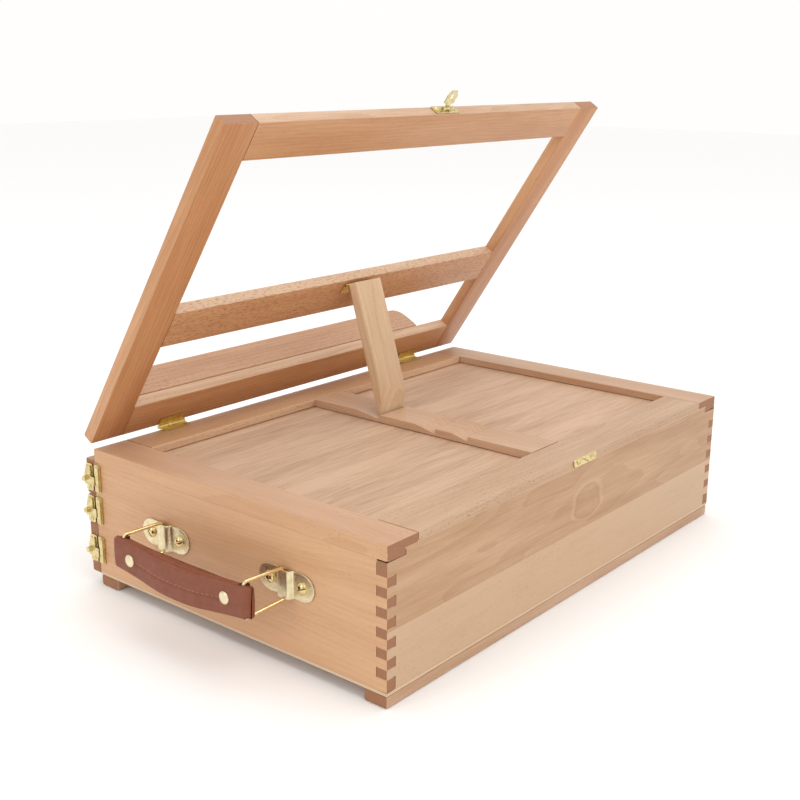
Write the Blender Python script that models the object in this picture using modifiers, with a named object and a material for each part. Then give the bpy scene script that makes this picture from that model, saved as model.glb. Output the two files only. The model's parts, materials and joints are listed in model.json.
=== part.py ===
"""Tabletop artist easel: a drawer box with a tilting canvas frame on its lid, in metres, +Z up.

-Y is the artist's side (drawers, canvas ledge, easel hinges); +X is the side with the carrying handle.
"""
import math

import bmesh
import bpy
import numpy as np
from mathutils import Matrix, Vector

# Box
BOX_LENGTH = 0.4250
BOX_DEPTH = 0.2745
BOX_HEIGHT = 0.1052
WALL = 0.0080
FOOT_HEIGHT = 0.0084
FOOT_WIDTH = 0.0183
BOTTOM = 0.0022
FINGER_TOP = 0.0096
FINGER_BOTTOM = 0.0088
FINGERS_BETWEEN = 10

# Lid of the box
LID_THICKNESS = 0.0060
LID_STILE = 0.0286
LIP_WIDTH = 0.0170
LIP_DROP = 0.0043
LID_REAR_RAIL = 0.0320
LID_FRONT_RAIL = 0.0293
PANEL = 0.0022
RATCHET_WIDTH = 0.0340
RATCHET_X = -0.0021
RATCHET_THICKNESS = 0.0057
NOTCH_ANGLES = (56.45, 42.4, 31.8)
NOTCH_DEPTHS = (0.0034, 0.0042, 0.0038)
NOTCH_RAMPS = (0.0230, 0.0190, 0.0160)

# Drawers, top to bottom
FRONT_SHARES = (0.3082, 0.2438, 0.4480)
FRONT_THICKNESS = 0.0100
FRONT_GAP = 0.0004
FRONTS_BELOW_TOP = 0.0084
FRONTS_ABOVE_TABLE = 0.0083
TRAY_WALL = 0.0065
TRAY_BACK_GAP = 0.0090
TRAY_SIDE_GAP = 0.0008
TRAY_BOTTOM = 0.0022
DIVIDER = 0.0024

# Easel frame
TILT = 56.45
FRAME_THICKNESS = 0.0095
FRAME_STILE = 0.0280
FRAME_TOP_RAIL = 0.0284
FRAME_MIDDLE_RAIL = 0.0312
FRAME_BOTTOM_RAIL = 0.0290
MIDDLE_RAIL_AT = 0.3208
FRAME_SHORTER = 0.0008
CLOSED_GAP = 0.0034
LEDGE_LENGTH = 0.3250
LEDGE_X = 0.0145
LEDGE_DEPTH = 0.0245
LEDGE_THICKNESS = 0.0100

# Prop leg
LEG_WIDTH = 0.0290
LEG_THICKNESS = 0.0090
LEG_REACH = 0.38506 * BOX_DEPTH
LEG_X = -0.0031
LEG_FOOT_CLEARANCE = 0.0005
LEG_BEVEL = 0.0029
LEG_BEVEL_LENGTH = 0.0202
PROP_AXIS_OUT = 0.0016
PROP_AXIS_DOWN = 0.0037
NOTCH_BEHIND_FOOT = 0.0059
PROP_HINGE_WIDTH = 0.0320

# Brass hardware
SHEET = 0.0008
HINGE_WIDTH = 0.0250
HINGE_LEAF = 0.0080
HINGE_INSET = 0.0727
KNUCKLE = 0.0032
HINGE_PIN = 0.0014
HINGE_AXIS_IN = 0.0014
HASP_X = -0.0035
HASP_LENGTH = 0.0142
HASP_WIDTH = 0.0110
HASP_BASE_LENGTH = 0.0260
HASP_BASE_WIDTH = 0.0076

# Handle
HANDLE_AXES = (-0.0600, 0.0557)
HANDLE_BELOW_TOP = 0.0461
BRACKET_LENGTH = 0.0480
BRACKET_HEIGHT = 0.0190
CHANNEL_WIDTH = 0.0100
CHANNEL_OUT = 0.0044
LOOP_WIRE = 0.0020
LOOP_HEIGHT = 0.0220
LOOP_REACH = 0.0290
LOOP_SWING = -13.0
LOOP_AXIS_OUT = 0.0025
GRIP_THICKNESS = 0.0090
GRIP_MIDDLE = 0.0120
GRIP_END_HEIGHT = 0.0215
GRIP_SAG = 0.0055
GRIP_OVER = 0.0052
RIVET_INSET = 0.0170
RIVET_HEAD = 0.0096

# Side latches
LATCH_LENGTH = 0.0205
LATCH_REACH = 0.0118

GAP = 0.0003
FIT = 0.0003
GRIP_FIT = 0.0007

half_length = BOX_LENGTH / 2
half_depth = BOX_DEPTH / 2
bottom_top = FOOT_HEIGHT + BOTTOM
wall_top = BOX_HEIGHT - LID_THICKNESS - LIP_DROP
lid_under = BOX_HEIGHT - LID_THICKNESS
frame_height = BOX_DEPTH - FRAME_SHORTER
hinge_y = -half_depth - HINGE_AXIS_IN
hinge_z = BOX_HEIGHT + CLOSED_GAP / 2
frame_low = 0.0004
frame_near = CLOSED_GAP / 2
middle_low = frame_low + MIDDLE_RAIL_AT * frame_height
middle_high = middle_low + FRAME_MIDDLE_RAIL
prop_y = middle_high - PROP_AXIS_DOWN
prop_z = frame_near - PROP_AXIS_OUT

for old in list(bpy.data.objects):
    bpy.data.objects.remove(old, do_unlink=True)

scene = bpy.context.scene
easel = bpy.data.collections.new("wooden_artist_easel")
scene.collection.children.link(easel)
cutters = bpy.data.collections.new("cutters")
cutters.hide_render = True
scene.collection.children.link(cutters)


def material(name, colour, roughness, metallic=0.0):
    made = bpy.data.materials.new(name)
    made.use_nodes = True
    shader = made.node_tree.nodes["Principled BSDF"]
    shader.inputs["Base Color"].default_value = (*colour, 1.0)
    shader.inputs["Roughness"].default_value = roughness
    shader.inputs["Metallic"].default_value = metallic
    return made


BEECH = material("beech", (0.62, 0.40, 0.24), 0.55)
BEECH_WARM = material("beech_warm", (0.55, 0.33, 0.18), 0.55)
PLYWOOD = material("plywood", (0.66, 0.46, 0.29), 0.60)
BRASS = material("brass", (0.75, 0.58, 0.27), 0.30, 1.0)
STEEL = material("nickel_wire", (0.62, 0.57, 0.47), 0.30, 1.0)
LEATHER = material("leather", (0.16, 0.07, 0.035), 0.65)


def empty(name, parent, location, tilt=(0.0, 0.0, 0.0)):
    made = bpy.data.objects.new(name, None)
    made.empty_display_size = 0.02
    easel.objects.link(made)
    made.parent = parent
    made.location = location
    made.rotation_euler = tilt
    return made


root = empty("easel_root", None, (0.0, 0.0, 0.0))


def node(name, mesh, slot, parent, location=(0.0, 0.0, 0.0), turn=(0.0, 0.0, 0.0)):
    made = bpy.data.objects.new(name, mesh)
    mesh.materials.clear()
    mesh.materials.append(slot)
    easel.objects.link(made)
    made.parent = parent
    made.location = location
    made.rotation_euler = turn
    return made


def box_mesh(low, high, bevel=0.0, segments=2):
    """A box between two corners, its edges rounded by bevel."""
    made = bmesh.new()
    bmesh.ops.create_cube(made, size=1.0)
    size = Vector(high) - Vector(low)
    middle = (Vector(high) + Vector(low)) / 2
    bmesh.ops.scale(made, vec=size, verts=made.verts)
    if bevel:
        bmesh.ops.bevel(
            made, geom=made.edges[:], offset=bevel, segments=segments, profile=0.5, affect="EDGES"
        )
    bmesh.ops.translate(made, vec=middle, verts=made.verts)
    mesh = bpy.data.meshes.new("box")
    made.to_mesh(mesh)
    made.free()
    return mesh


def box(name, slot, parent, low, high, bevel=0.0006):
    """A box node whose origin is at its own centre."""
    low, high = Vector(low), Vector(high)
    middle = (low + high) / 2
    return node(name, box_mesh(low - middle, high - middle, bevel), slot, parent, middle)


def cylinder_mesh(radius, low, high, axis="Z", sides=24, centre=(0.0, 0.0)):
    made = bmesh.new()
    bmesh.ops.create_cone(
        made, cap_ends=True, segments=sides, radius1=radius, radius2=radius, depth=high - low
    )
    bmesh.ops.translate(made, vec=(0.0, 0.0, (low + high) / 2), verts=made.verts)
    if axis == "X":
        turn = Matrix.Rotation(math.radians(90), 3, "Y")
        bmesh.ops.rotate(made, matrix=turn, verts=made.verts)
        bmesh.ops.translate(made, vec=(0.0, centre[0], centre[1]), verts=made.verts)
    elif axis == "Y":
        turn = Matrix.Rotation(math.radians(-90), 3, "X")
        bmesh.ops.rotate(made, matrix=turn, verts=made.verts)
        bmesh.ops.translate(made, vec=(centre[0], 0.0, centre[1]), verts=made.verts)
    else:
        bmesh.ops.translate(made, vec=(centre[0], centre[1], 0.0), verts=made.verts)
    mesh = bpy.data.meshes.new("cylinder")
    made.to_mesh(mesh)
    made.free()
    return mesh


TO_YZ = Matrix(((0, 0, 1), (1, 0, 0), (0, 1, 0))).to_4x4()
TO_XZ = Matrix(((1, 0, 0), (0, 0, -1), (0, 1, 0))).to_4x4()
TO_XY = Matrix.Identity(4)


def plate_mesh(outline, low, high, plane, holes=()):
    """A flat outline, made solid from low to high across its plane."""
    curve = bpy.data.curves.new("outline", "CURVE")
    curve.dimensions = "2D"
    curve.fill_mode = "BOTH"
    curve.extrude = (high - low) / 2
    for loop in (outline, *holes):
        spline = curve.splines.new("POLY")
        spline.points.add(len(loop) - 1)
        for point, (a, b) in zip(spline.points, loop):
            point.co = (a, b, 0.0, 1.0)
        spline.use_cyclic_u = True
    helper = bpy.data.objects.new("outline", curve)
    cutters.objects.link(helper)
    graph = bpy.context.evaluated_depsgraph_get()
    mesh = bpy.data.meshes.new_from_object(helper.evaluated_get(graph))
    bpy.data.objects.remove(helper, do_unlink=True)
    bpy.data.curves.remove(curve)
    across = (high + low) / 2
    if plane is TO_XZ:
        across = -across
    mesh.transform(plane @ Matrix.Translation((0.0, 0.0, across)))
    made = bmesh.new()
    made.from_mesh(mesh)
    bmesh.ops.remove_doubles(made, verts=made.verts, dist=1e-6)
    bmesh.ops.recalc_face_normals(made, faces=made.faces)
    made.to_mesh(mesh)
    made.free()
    return mesh


def soften(obj, width, segments=2, angle=40.0):
    rounding = obj.modifiers.new("rounding", "BEVEL")
    rounding.width = width
    rounding.segments = segments
    rounding.limit_method = "ANGLE"
    rounding.angle_limit = math.radians(angle)
    return rounding


def joined(obj, meshes, operation="UNION"):
    """Adds or cuts each mesh, given in the object's own space, with an exact Boolean."""
    for count, mesh in enumerate(meshes):
        helper = bpy.data.objects.new(f"{obj.name}_{operation.lower()}_{count}", mesh)
        cutters.objects.link(helper)
        helper.parent = obj
        helper.hide_render = True
        helper.display_type = "WIRE"
        step = obj.modifiers.new(f"{operation.lower()}_{count}", "BOOLEAN")
        step.operation = operation
        step.solver = "EXACT"
        step.object = helper
    return obj


def cut(obj, meshes):
    return joined(obj, meshes, "DIFFERENCE")


def round_shading(obj, angle=35.0):
    for face in obj.data.polygons:
        face.use_smooth = True
    obj.data.set_sharp_from_angle(angle=math.radians(angle))
    return obj


def circle(radius, sides=24, centre=(0.0, 0.0)):
    return [
        (
            centre[0] + radius * math.cos(2 * math.pi * i / sides),
            centre[1] + radius * math.sin(2 * math.pi * i / sides),
        )
        for i in range(sides)
    ]


def rounded(low, high, radius, steps=4):
    """The outline of a rectangle with round corners."""
    corners = (
        (high[0] - radius, high[1] - radius, 0),
        (low[0] + radius, high[1] - radius, 90),
        (low[0] + radius, low[1] + radius, 180),
        (high[0] - radius, low[1] + radius, 270),
    )
    points = []
    for x, y, start in corners:
        for i in range(steps + 1):
            at = math.radians(start + 90 * i / steps)
            points.append((x + radius * math.cos(at), y + radius * math.sin(at)))
    return points


def wire_mesh(points, radius, cyclic):
    curve = bpy.data.curves.new("wire", "CURVE")
    curve.dimensions = "3D"
    curve.bevel_depth = radius
    curve.bevel_resolution = 2
    curve.use_fill_caps = True
    spline = curve.splines.new("POLY")
    spline.points.add(len(points) - 1)
    for point, co in zip(spline.points, points):
        point.co = (*co, 1.0)
    spline.use_cyclic_u = cyclic
    helper = bpy.data.objects.new("wire", curve)
    cutters.objects.link(helper)
    graph = bpy.context.evaluated_depsgraph_get()
    mesh = bpy.data.meshes.new_from_object(helper.evaluated_get(graph))
    bpy.data.objects.remove(helper, do_unlink=True)
    bpy.data.curves.remove(curve)
    made = bmesh.new()
    made.from_mesh(mesh)
    bmesh.ops.remove_doubles(made, verts=made.verts, dist=1e-6)
    bmesh.ops.recalc_face_normals(made, faces=made.faces)
    made.to_mesh(mesh)
    made.free()
    return mesh


# Feet and bottom
for side, label in ((-1, "front"), (1, "rear")):
    outer = side * half_depth
    inner = side * (half_depth - FOOT_WIDTH)
    box(
        f"foot_{label}",
        BEECH,
        root,
        (-half_length, min(outer, inner), 0.0),
        (half_length, max(outer, inner), FOOT_HEIGHT),
        0.0015,
    )
box(
    "bottom_board",
    PLYWOOD,
    root,
    (-half_length, -half_depth, FOOT_HEIGHT + GAP),
    (half_length, half_depth, bottom_top),
    0.0,
)

# Walls, finger jointed at the rear corners
finger = (wall_top - bottom_top - FINGER_TOP - FINGER_BOTTOM) / FINGERS_BETWEEN
joints = [wall_top, wall_top - FINGER_TOP]
for step in range(1, FINGERS_BETWEEN + 1):
    joints.append(wall_top - FINGER_TOP - step * finger)
joints.append(bottom_top)


def comb(outer, root_line, rear_wall):
    """The stepped end of a wall, from top to bottom: outer where its own fingers are."""
    points = []
    for i in range(len(joints) - 1):
        own = (i % 2 == 0) == rear_wall
        at = outer if own else root_line
        shrink = GAP / 2 if own else -GAP / 2
        high = joints[i] - shrink
        low = joints[i + 1] + shrink
        if i == 0:
            high = wall_top - GAP
        if i == len(joints) - 2:
            low = bottom_top + GAP
        points += [(at, high), (at, low)]
    return points


side_end = comb(half_depth, half_depth - WALL - GAP, False)
side_outline = [(-half_depth, wall_top - GAP), *side_end, (-half_depth, bottom_top + GAP)]
for side, label in ((1, "handle_side"), (-1, "far_side")):
    low = min(side * half_length, side * (half_length - WALL))
    node(f"wall_{label}", plate_mesh(side_outline, low, low + WALL, TO_YZ), BEECH, root)

rear_end = comb(half_length, half_length - WALL - GAP, True)
lip_inner = half_length - LIP_WIDTH - GAP
right = [(lip_inner, lid_under - GAP), (lip_inner, wall_top - GAP), *rear_end]
left = [(-x, z) for x, z in reversed(right)]
node(
    "wall_rear",
    plate_mesh(right + left, half_depth - WALL, half_depth, TO_XZ),
    BEECH,
    root,
)

# Lid: two L-shaped stiles, two rails, a ply panel and the ratchet rail
stile_inner = half_length - LID_STILE
for side, label in ((1, "handle_side"), (-1, "far_side")):
    outline = [
        (side * half_length, BOX_HEIGHT),
        (side * stile_inner, BOX_HEIGHT),
        (side * stile_inner, lid_under),
        (side * (half_length - LIP_WIDTH), lid_under),
        (side * (half_length - LIP_WIDTH), wall_top),
        (side * half_length, wall_top),
    ]
    stile = node(f"lid_stile_{label}", plate_mesh(outline, -half_depth, half_depth, TO_XZ), BEECH, root)
    soften(stile, 0.0006)
rail_half = stile_inner - GAP
rear_rail_inner = half_depth - LID_REAR_RAIL
front_rail_inner = -half_depth + LID_FRONT_RAIL
box(
    "lid_rail_rear",
    BEECH,
    root,
    (-rail_half, rear_rail_inner, lid_under),
    (rail_half, half_depth, BOX_HEIGHT),
)
box(
    "lid_rail_front",
    BEECH,
    root,
    (-rail_half, -half_depth, lid_under),
    (rail_half, front_rail_inner, BOX_HEIGHT),
)
box(
    "lid_panel",
    PLYWOOD,
    root,
    (-half_length + LIP_WIDTH + GAP, -half_depth, lid_under - GAP - PANEL),
    (half_length - LIP_WIDTH - GAP, half_depth - WALL - GAP, lid_under - GAP),
    0.0,
)


def pivot_at(angle):
    """Where the prop's hinge axis is, in Y and Z, with the frame at this angle."""
    a = math.radians(angle)
    y = hinge_y + prop_y * math.cos(a) - prop_z * math.sin(a)
    z = hinge_z + prop_y * math.sin(a) + prop_z * math.cos(a)
    return y, z


stops = []
for angle, depth in zip(NOTCH_ANGLES, NOTCH_DEPTHS):
    y, z = pivot_at(angle)
    drop = z - (BOX_HEIGHT - depth + 0.0006)
    stops.append(y + math.sqrt(LEG_REACH**2 - drop**2) + NOTCH_BEHIND_FOOT)
rail_line = [(front_rail_inner + GAP, BOX_HEIGHT)]
for stop_y, depth, ramp in zip(stops, NOTCH_DEPTHS, NOTCH_RAMPS):
    rail_line += [
        (stop_y - ramp, BOX_HEIGHT),
        (stop_y, BOX_HEIGHT - depth),
        (stop_y, BOX_HEIGHT),
    ]
rail_line += [
    (rear_rail_inner - GAP, BOX_HEIGHT),
    (rear_rail_inner - GAP, BOX_HEIGHT - RATCHET_THICKNESS),
    (front_rail_inner + GAP, BOX_HEIGHT - RATCHET_THICKNESS),
]
ratchet = node(
    "ratchet_rail",
    plate_mesh(rail_line, RATCHET_X - RATCHET_WIDTH / 2, RATCHET_X + RATCHET_WIDTH / 2, TO_YZ),
    BEECH,
    root,
)

# Drawers and the dividers that carry them
fronts_height = BOX_HEIGHT - FRONTS_BELOW_TOP - FRONTS_ABOVE_TABLE
front_top = BOX_HEIGHT - FRONTS_BELOW_TOP
inside = half_length - WALL
front_back = -half_depth - GAP
tray_end = half_depth - WALL - TRAY_BACK_GAP
edges = []
for share in FRONT_SHARES:
    front_low = front_top - share * fronts_height + FRONT_GAP
    edges.append((front_low, front_top))
    front_top = front_low - FRONT_GAP

for count, (front_low, front_high) in enumerate(edges, start=1):
    slide = empty(f"drawer_{count}_slide", root, (0.0, front_back, (front_low + front_high) / 2))
    middle = (front_low + front_high) / 2
    box(
        f"drawer_{count}_front",
        BEECH,
        slide,
        (-half_length, -FRONT_THICKNESS, front_low - middle),
        (half_length, 0.0, front_high - middle),
        0.0014,
    )
    if count == 1:
        tray_top = wall_top - GAP * 2
    else:
        tray_top = front_high - DIVIDER / 2 - GAP
    if count == len(edges):
        tray_low = bottom_top + GAP
    else:
        tray_low = edges[count][1] + DIVIDER / 2 + GAP
        box(
            f"drawer_divider_{count}",
            PLYWOOD,
            root,
            (-inside + GAP, -half_depth, edges[count][1] - DIVIDER / 2),
            (inside - GAP, half_depth - WALL - GAP, edges[count][1] + DIVIDER / 2),
            0.0,
        )
    tray_half = inside - TRAY_SIDE_GAP
    low = (-tray_half, GAP, tray_low - middle)
    high = (tray_half, tray_end - front_back, tray_top - middle)
    tray = box(f"drawer_{count}_tray", BEECH, slide, low, high, 0.0)
    reach = (Vector(high) - Vector(low)) / 2
    hollow = Vector((reach.x - TRAY_WALL, reach.y - TRAY_WALL, reach.z + 0.002))
    seat = Vector((reach.x - TRAY_WALL / 2, reach.y - TRAY_WALL / 2, 0.0))
    seat_low = -reach.z + 0.0008
    cut(
        tray,
        [
            box_mesh(-hollow, hollow),
            box_mesh((-seat.x, -seat.y, seat_low), (seat.x, seat.y, seat_low + TRAY_BOTTOM + 2 * GAP)),
        ],
    )
    centre = (Vector(high) + Vector(low)) / 2
    box(
        f"drawer_{count}_bottom",
        PLYWOOD,
        slide,
        centre + Vector((-seat.x + GAP, -seat.y + GAP, seat_low + GAP)),
        centre + Vector((seat.x - GAP, seat.y - GAP, seat_low + GAP + TRAY_BOTTOM)),
        0.0,
    )

    # Latch: plate and turning lever on the drawer front's end, keeper on the box wall
    plate_high = middle + LATCH_LENGTH / 2
    plate_low = middle - LATCH_LENGTH / 2
    out = half_length + GAP
    y_low = front_back - FRONT_THICKNESS + 0.0012
    y_high = front_back - 0.0010
    pivot_y = (y_low + y_high) / 2
    pivot_z = plate_high - 0.0042
    plate = plate_mesh(
        rounded((y_low, plate_low), (y_high, plate_high), 0.0012, 3),
        out,
        out + SHEET,
        TO_YZ,
        [circle(0.0014, 16, (pivot_y, pivot_z))],
    )
    plate.transform(Matrix.Translation((0.0, -front_back, -middle)))
    node(f"latch_{count}_plate", plate, BRASS, slide)
    turn = empty(f"latch_{count}_turn", slide, (out, pivot_y - front_back, pivot_z - middle))
    lever_low = SHEET + GAP
    lever_high = lever_low + SHEET
    wide = 0.0046
    tongue = -half_depth + 0.0012 - pivot_y
    outline = [
        (-0.0026, 0.0024),
        (0.0022, 0.0024),
        (0.0026, -0.0050),
        (tongue, -0.0050),
        (tongue, -LATCH_REACH),
        (-wide, -LATCH_REACH),
        (-wide, -0.0046),
    ]
    lever = node(
        f"latch_{count}_lever", plate_mesh(outline, lever_low, lever_high, TO_YZ), BRASS, turn
    )
    joined(
        lever,
        [
            cylinder_mesh(0.0010, 0.0002, lever_high - 0.0002, "X", 16),
            cylinder_mesh(0.0020, lever_high - 0.0003, lever_high + 0.0024, "X", 16, (-0.0030, -0.0074)),
        ],
    )
    keeper_low = -half_depth + 0.0004
    keeper_high = keeper_low + 0.0066
    rib = keeper_low + 0.0030
    keeper_outline = rounded((keeper_low, plate_low), (keeper_high, plate_high), 0.0008, 2)
    keeper = node(
        f"latch_{count}_keeper", plate_mesh(keeper_outline, out, out + SHEET, TO_YZ), BRASS, root
    )
    joined(
        keeper,
        [
            box_mesh(
                (out + SHEET / 2, rib, plate_low + 0.0010),
                (out + 2 * SHEET + 2 * GAP, keeper_high - 0.0004, plate_high - 0.0010),
            )
        ],
    )

# Easel frame, laid out closed and turned up about its hinges
tilt = empty("easel_tilt", root, (0.0, hinge_y, hinge_z), (math.radians(TILT), 0.0, 0.0))
near = frame_near
far = frame_near + FRAME_THICKNESS
frame_high = frame_low + frame_height
for side, label in ((1, "handle_side"), (-1, "far_side")):
    inner = side * (half_length - FRAME_STILE)
    outer = side * half_length
    box(
        f"frame_stile_{label}",
        BEECH_WARM,
        tilt,
        (min(inner, outer), frame_low, near),
        (max(inner, outer), frame_high, far),
        0.0009,
    )
rail_end = half_length - FRAME_STILE - GAP
frame_rails = (
    ("frame_rail_top", frame_high - FRAME_TOP_RAIL, frame_high),
    ("frame_rail_middle", middle_low, middle_high),
    ("frame_rail_bottom", frame_low, frame_low + FRAME_BOTTOM_RAIL),
)
for name, low, high in frame_rails:
    box(name, BEECH_WARM, tilt, (-rail_end, low, near), (rail_end, high, far), 0.0009)

# Canvas ledge: straight front edge, its ends sweeping back to the frame in a curve
ledge_half = LEDGE_LENGTH / 2
ledge_low = far + GAP
curve_steps = [
    (0.0170, 1.000),
    (0.0102, 0.970),
    (0.0067, 0.900),
    (0.0036, 0.760),
    (0.0021, 0.620),
    (0.0009, 0.420),
    (0.0000, 0.130),
    (0.0000, 0.000),
]
right = [(LEDGE_X + ledge_half - a, ledge_low + LEDGE_DEPTH * b) for a, b in curve_steps]
left = [(LEDGE_X - ledge_half + a, ledge_low + LEDGE_DEPTH * b) for a, b in reversed(curve_steps)]
ledge_top = frame_low + FRAME_BOTTOM_RAIL
ledge = node(
    "canvas_ledge",
    plate_mesh(left + right, ledge_top - LEDGE_THICKNESS, ledge_top, TO_XZ),
    BEECH,
    tilt,
)
soften(ledge, 0.0009, 2, 50.0)


def leaf_mesh(wide, start, reach, face, thickness):
    """A hinge leaf from start to reach along Y, its outer face at this height over the axis."""
    y_low, y_high = sorted((start, reach))
    z_low, z_high = sorted((face, face - math.copysign(thickness, face)))
    return box_mesh((-wide / 2 + 0.0001, y_low, z_low), (wide / 2 - 0.0001, y_high, z_high))


def hinge_half(name, parent, place, wide, radius, bore, leaf, middle):
    """A leaf with its knuckles: the middle third, or the two outer ones."""
    third = wide / 3
    room = radius + FIT
    far_end = wide
    if middle:
        gaps = ((-far_end, -third / 2 + GAP / 2), (third / 2 - GAP / 2, far_end))
    else:
        gaps = ((-third / 2 - GAP / 2, third / 2 + GAP / 2),)
    half = node(name, cylinder_mesh(radius, -wide / 2, wide / 2, "X", 20), BRASS, parent, place)
    joined(half, [leaf])
    cut(half, [cylinder_mesh(bore, -far_end, far_end, "X", 20)])
    for low, high in gaps:
        cut(half, [cylinder_mesh(room, low, high, "X", 20)])
    return half


def butt_hinge(label, x):
    """Two leaves round one pin, on the near edge of the frame and the front edge of the lid."""
    bore = HINGE_PIN / 2 + FIT
    thick = 0.0009
    under = -CLOSED_GAP / 2 + GAP + thick
    hinge_half(
        f"hinge_{label}_lid_leaf",
        root,
        (x, hinge_y, hinge_z),
        HINGE_WIDTH,
        KNUCKLE / 2,
        bore,
        box_mesh(
            (-HINGE_WIDTH / 2 + 0.0001, 0.0004, under - thick),
            (HINGE_WIDTH / 2 - 0.0001, HINGE_LEAF, under),
        ),
        False,
    )
    hinge_half(
        f"hinge_{label}_frame_leaf",
        tilt,
        (x, 0.0, 0.0),
        HINGE_WIDTH,
        KNUCKLE / 2,
        bore,
        leaf_mesh(HINGE_WIDTH, 0.0004, HINGE_LEAF, frame_near - GAP, thick),
        True,
    )
    pin_half = HINGE_WIDTH / 2 + 0.0002
    pin = node(
        f"hinge_{label}_pin",
        cylinder_mesh(HINGE_PIN / 2, -pin_half, pin_half, "X", 16),
        BRASS,
        tilt,
        (x, 0.0, 0.0),
    )
    round_shading(pin)


butt_hinge("handle_side", half_length - HINGE_INSET)
butt_hinge("far_side", -half_length + HINGE_INSET)

# Prop leg: folds flat into the frame's upper opening
foot_drop = pivot_at(TILT)[1] - (BOX_HEIGHT - NOTCH_DEPTHS[0] + 0.0006)
leg_slope = -math.degrees(math.asin(foot_drop / LEG_REACH))
prop_rest = leg_slope - TILT
prop_ratio = prop_rest / TILT
leg_length = LEG_REACH
for step in range(1, 400):
    angle = TILT * step / 400
    y, z = pivot_at(angle)
    slope = math.radians(angle * (1.0 + prop_ratio))
    room = z + PROP_AXIS_OUT * math.cos(slope) - BOX_HEIGHT - LEG_FOOT_CLEARANCE
    leg_length = min(leg_length, room / -math.sin(slope))
prop = empty(
    "prop_leg_fold", tilt, (LEG_X, prop_y, prop_z), (math.radians(prop_rest), 0.0, 0.0)
)
leg_face = PROP_AXIS_OUT
leg_start = PROP_AXIS_DOWN + 0.0006
leg_outline = [
    (leg_start, leg_face),
    (leg_length, leg_face),
    (leg_length, leg_face + LEG_BEVEL),
    (leg_length - LEG_BEVEL_LENGTH, leg_face + LEG_THICKNESS),
    (leg_start, leg_face + LEG_THICKNESS),
]
leg = node(
    "prop_leg",
    plate_mesh(leg_outline, -LEG_WIDTH / 2, LEG_WIDTH / 2, TO_YZ),
    BEECH,
    prop,
)
soften(leg, 0.0005)
prop_radius = 0.0012
prop_bore = 0.0008
prop_pin_radius = 0.0005
prop_leaf_face = PROP_AXIS_OUT - GAP
half_wide = PROP_HINGE_WIDTH / 2
hinge_half(
    "prop_hinge_frame_leaf",
    tilt,
    (LEG_X, prop_y, prop_z),
    PROP_HINGE_WIDTH,
    prop_radius,
    prop_bore,
    leaf_mesh(PROP_HINGE_WIDTH, -0.0004, -0.0095, prop_leaf_face, 0.0006),
    False,
)
hinge_half(
    "prop_hinge_leg_leaf",
    prop,
    (0.0, 0.0, 0.0),
    PROP_HINGE_WIDTH,
    prop_radius,
    prop_bore,
    leaf_mesh(LEG_WIDTH, 0.0004, 0.0095, prop_leaf_face, 0.0006),
    True,
)
node(
    "prop_hinge_pin",
    cylinder_mesh(prop_pin_radius, -half_wide - 0.0002, half_wide + 0.0002, "X", 12),
    BRASS,
    tilt,
    (LEG_X, prop_y, prop_z),
)

# Hasp on the frame's top edge, folding down over the catch on the rear wall
hasp_radius = 0.0013
hasp_y = frame_high + 0.0026
hasp_z = near + 0.0036
base_low = near + 0.0010
base = node(
    "hasp_base",
    box_mesh(
        (-HASP_BASE_LENGTH / 2, frame_high + GAP - hasp_y, base_low - hasp_z),
        (HASP_BASE_LENGTH / 2, frame_high + GAP + SHEET - hasp_y, base_low + HASP_BASE_WIDTH - hasp_z),
    ),
    BRASS,
    tilt,
    (HASP_X, hasp_y, hasp_z),
)
knuckle = HASP_WIDTH / 3
joined(
    base,
    [
        box_mesh((-HASP_WIDTH / 2, -0.0018, -0.0010), (-knuckle / 2 - GAP, 0.0, 0.0010)),
        box_mesh((knuckle / 2 + GAP, -0.0018, -0.0010), (HASP_WIDTH / 2, 0.0, 0.0010)),
        plate_mesh(circle(hasp_radius, 16), -HASP_WIDTH / 2, -knuckle / 2 - GAP, TO_YZ),
        plate_mesh(circle(hasp_radius, 16), knuckle / 2 + GAP, HASP_WIDTH / 2, TO_YZ),
    ],
)
cut(base, [cylinder_mesh(prop_bore, -HINGE_WIDTH, HINGE_WIDTH, "X", 16)])
hasp_turn = empty("hasp_fold", tilt, (HASP_X, hasp_y, hasp_z))
plate_near = 0.0007
tip = HASP_LENGTH
flag = [
    (-knuckle / 2, 0.0009),
    (knuckle / 2, 0.0009),
    (knuckle / 2, 0.0022),
    (HASP_WIDTH / 2, 0.0040),
    (HASP_WIDTH / 2, tip - 0.0040),
    (HASP_WIDTH / 4, tip),
    (-HASP_WIDTH / 4, tip),
    (-HASP_WIDTH / 2, tip - 0.0040),
    (-HASP_WIDTH / 2, 0.0040),
    (-knuckle / 2, 0.0022),
]
slot = rounded((-0.0018, 0.0070), (0.0018, 0.0116), 0.0017, 4)
hasp = node(
    "hasp_plate",
    plate_mesh(flag, plate_near, plate_near + SHEET, TO_XY, [slot]),
    BRASS,
    hasp_turn,
)
joined(
    hasp,
    [
        plate_mesh(circle(hasp_radius, 16), -knuckle / 2, knuckle / 2, TO_YZ),
        box_mesh((-knuckle / 2, 0.0, plate_near), (knuckle / 2, 0.0020, plate_near + SHEET - 0.00001)),
    ],
)
cut(hasp, [cylinder_mesh(prop_bore, -HINGE_WIDTH, HINGE_WIDTH, "X", 16)])
node(
    "hasp_pin",
    cylinder_mesh(prop_pin_radius, -HASP_WIDTH / 2 - 0.0002, HASP_WIDTH / 2 + 0.0002, "X", 12),
    BRASS,
    tilt,
    (HASP_X, hasp_y, hasp_z),
)
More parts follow.
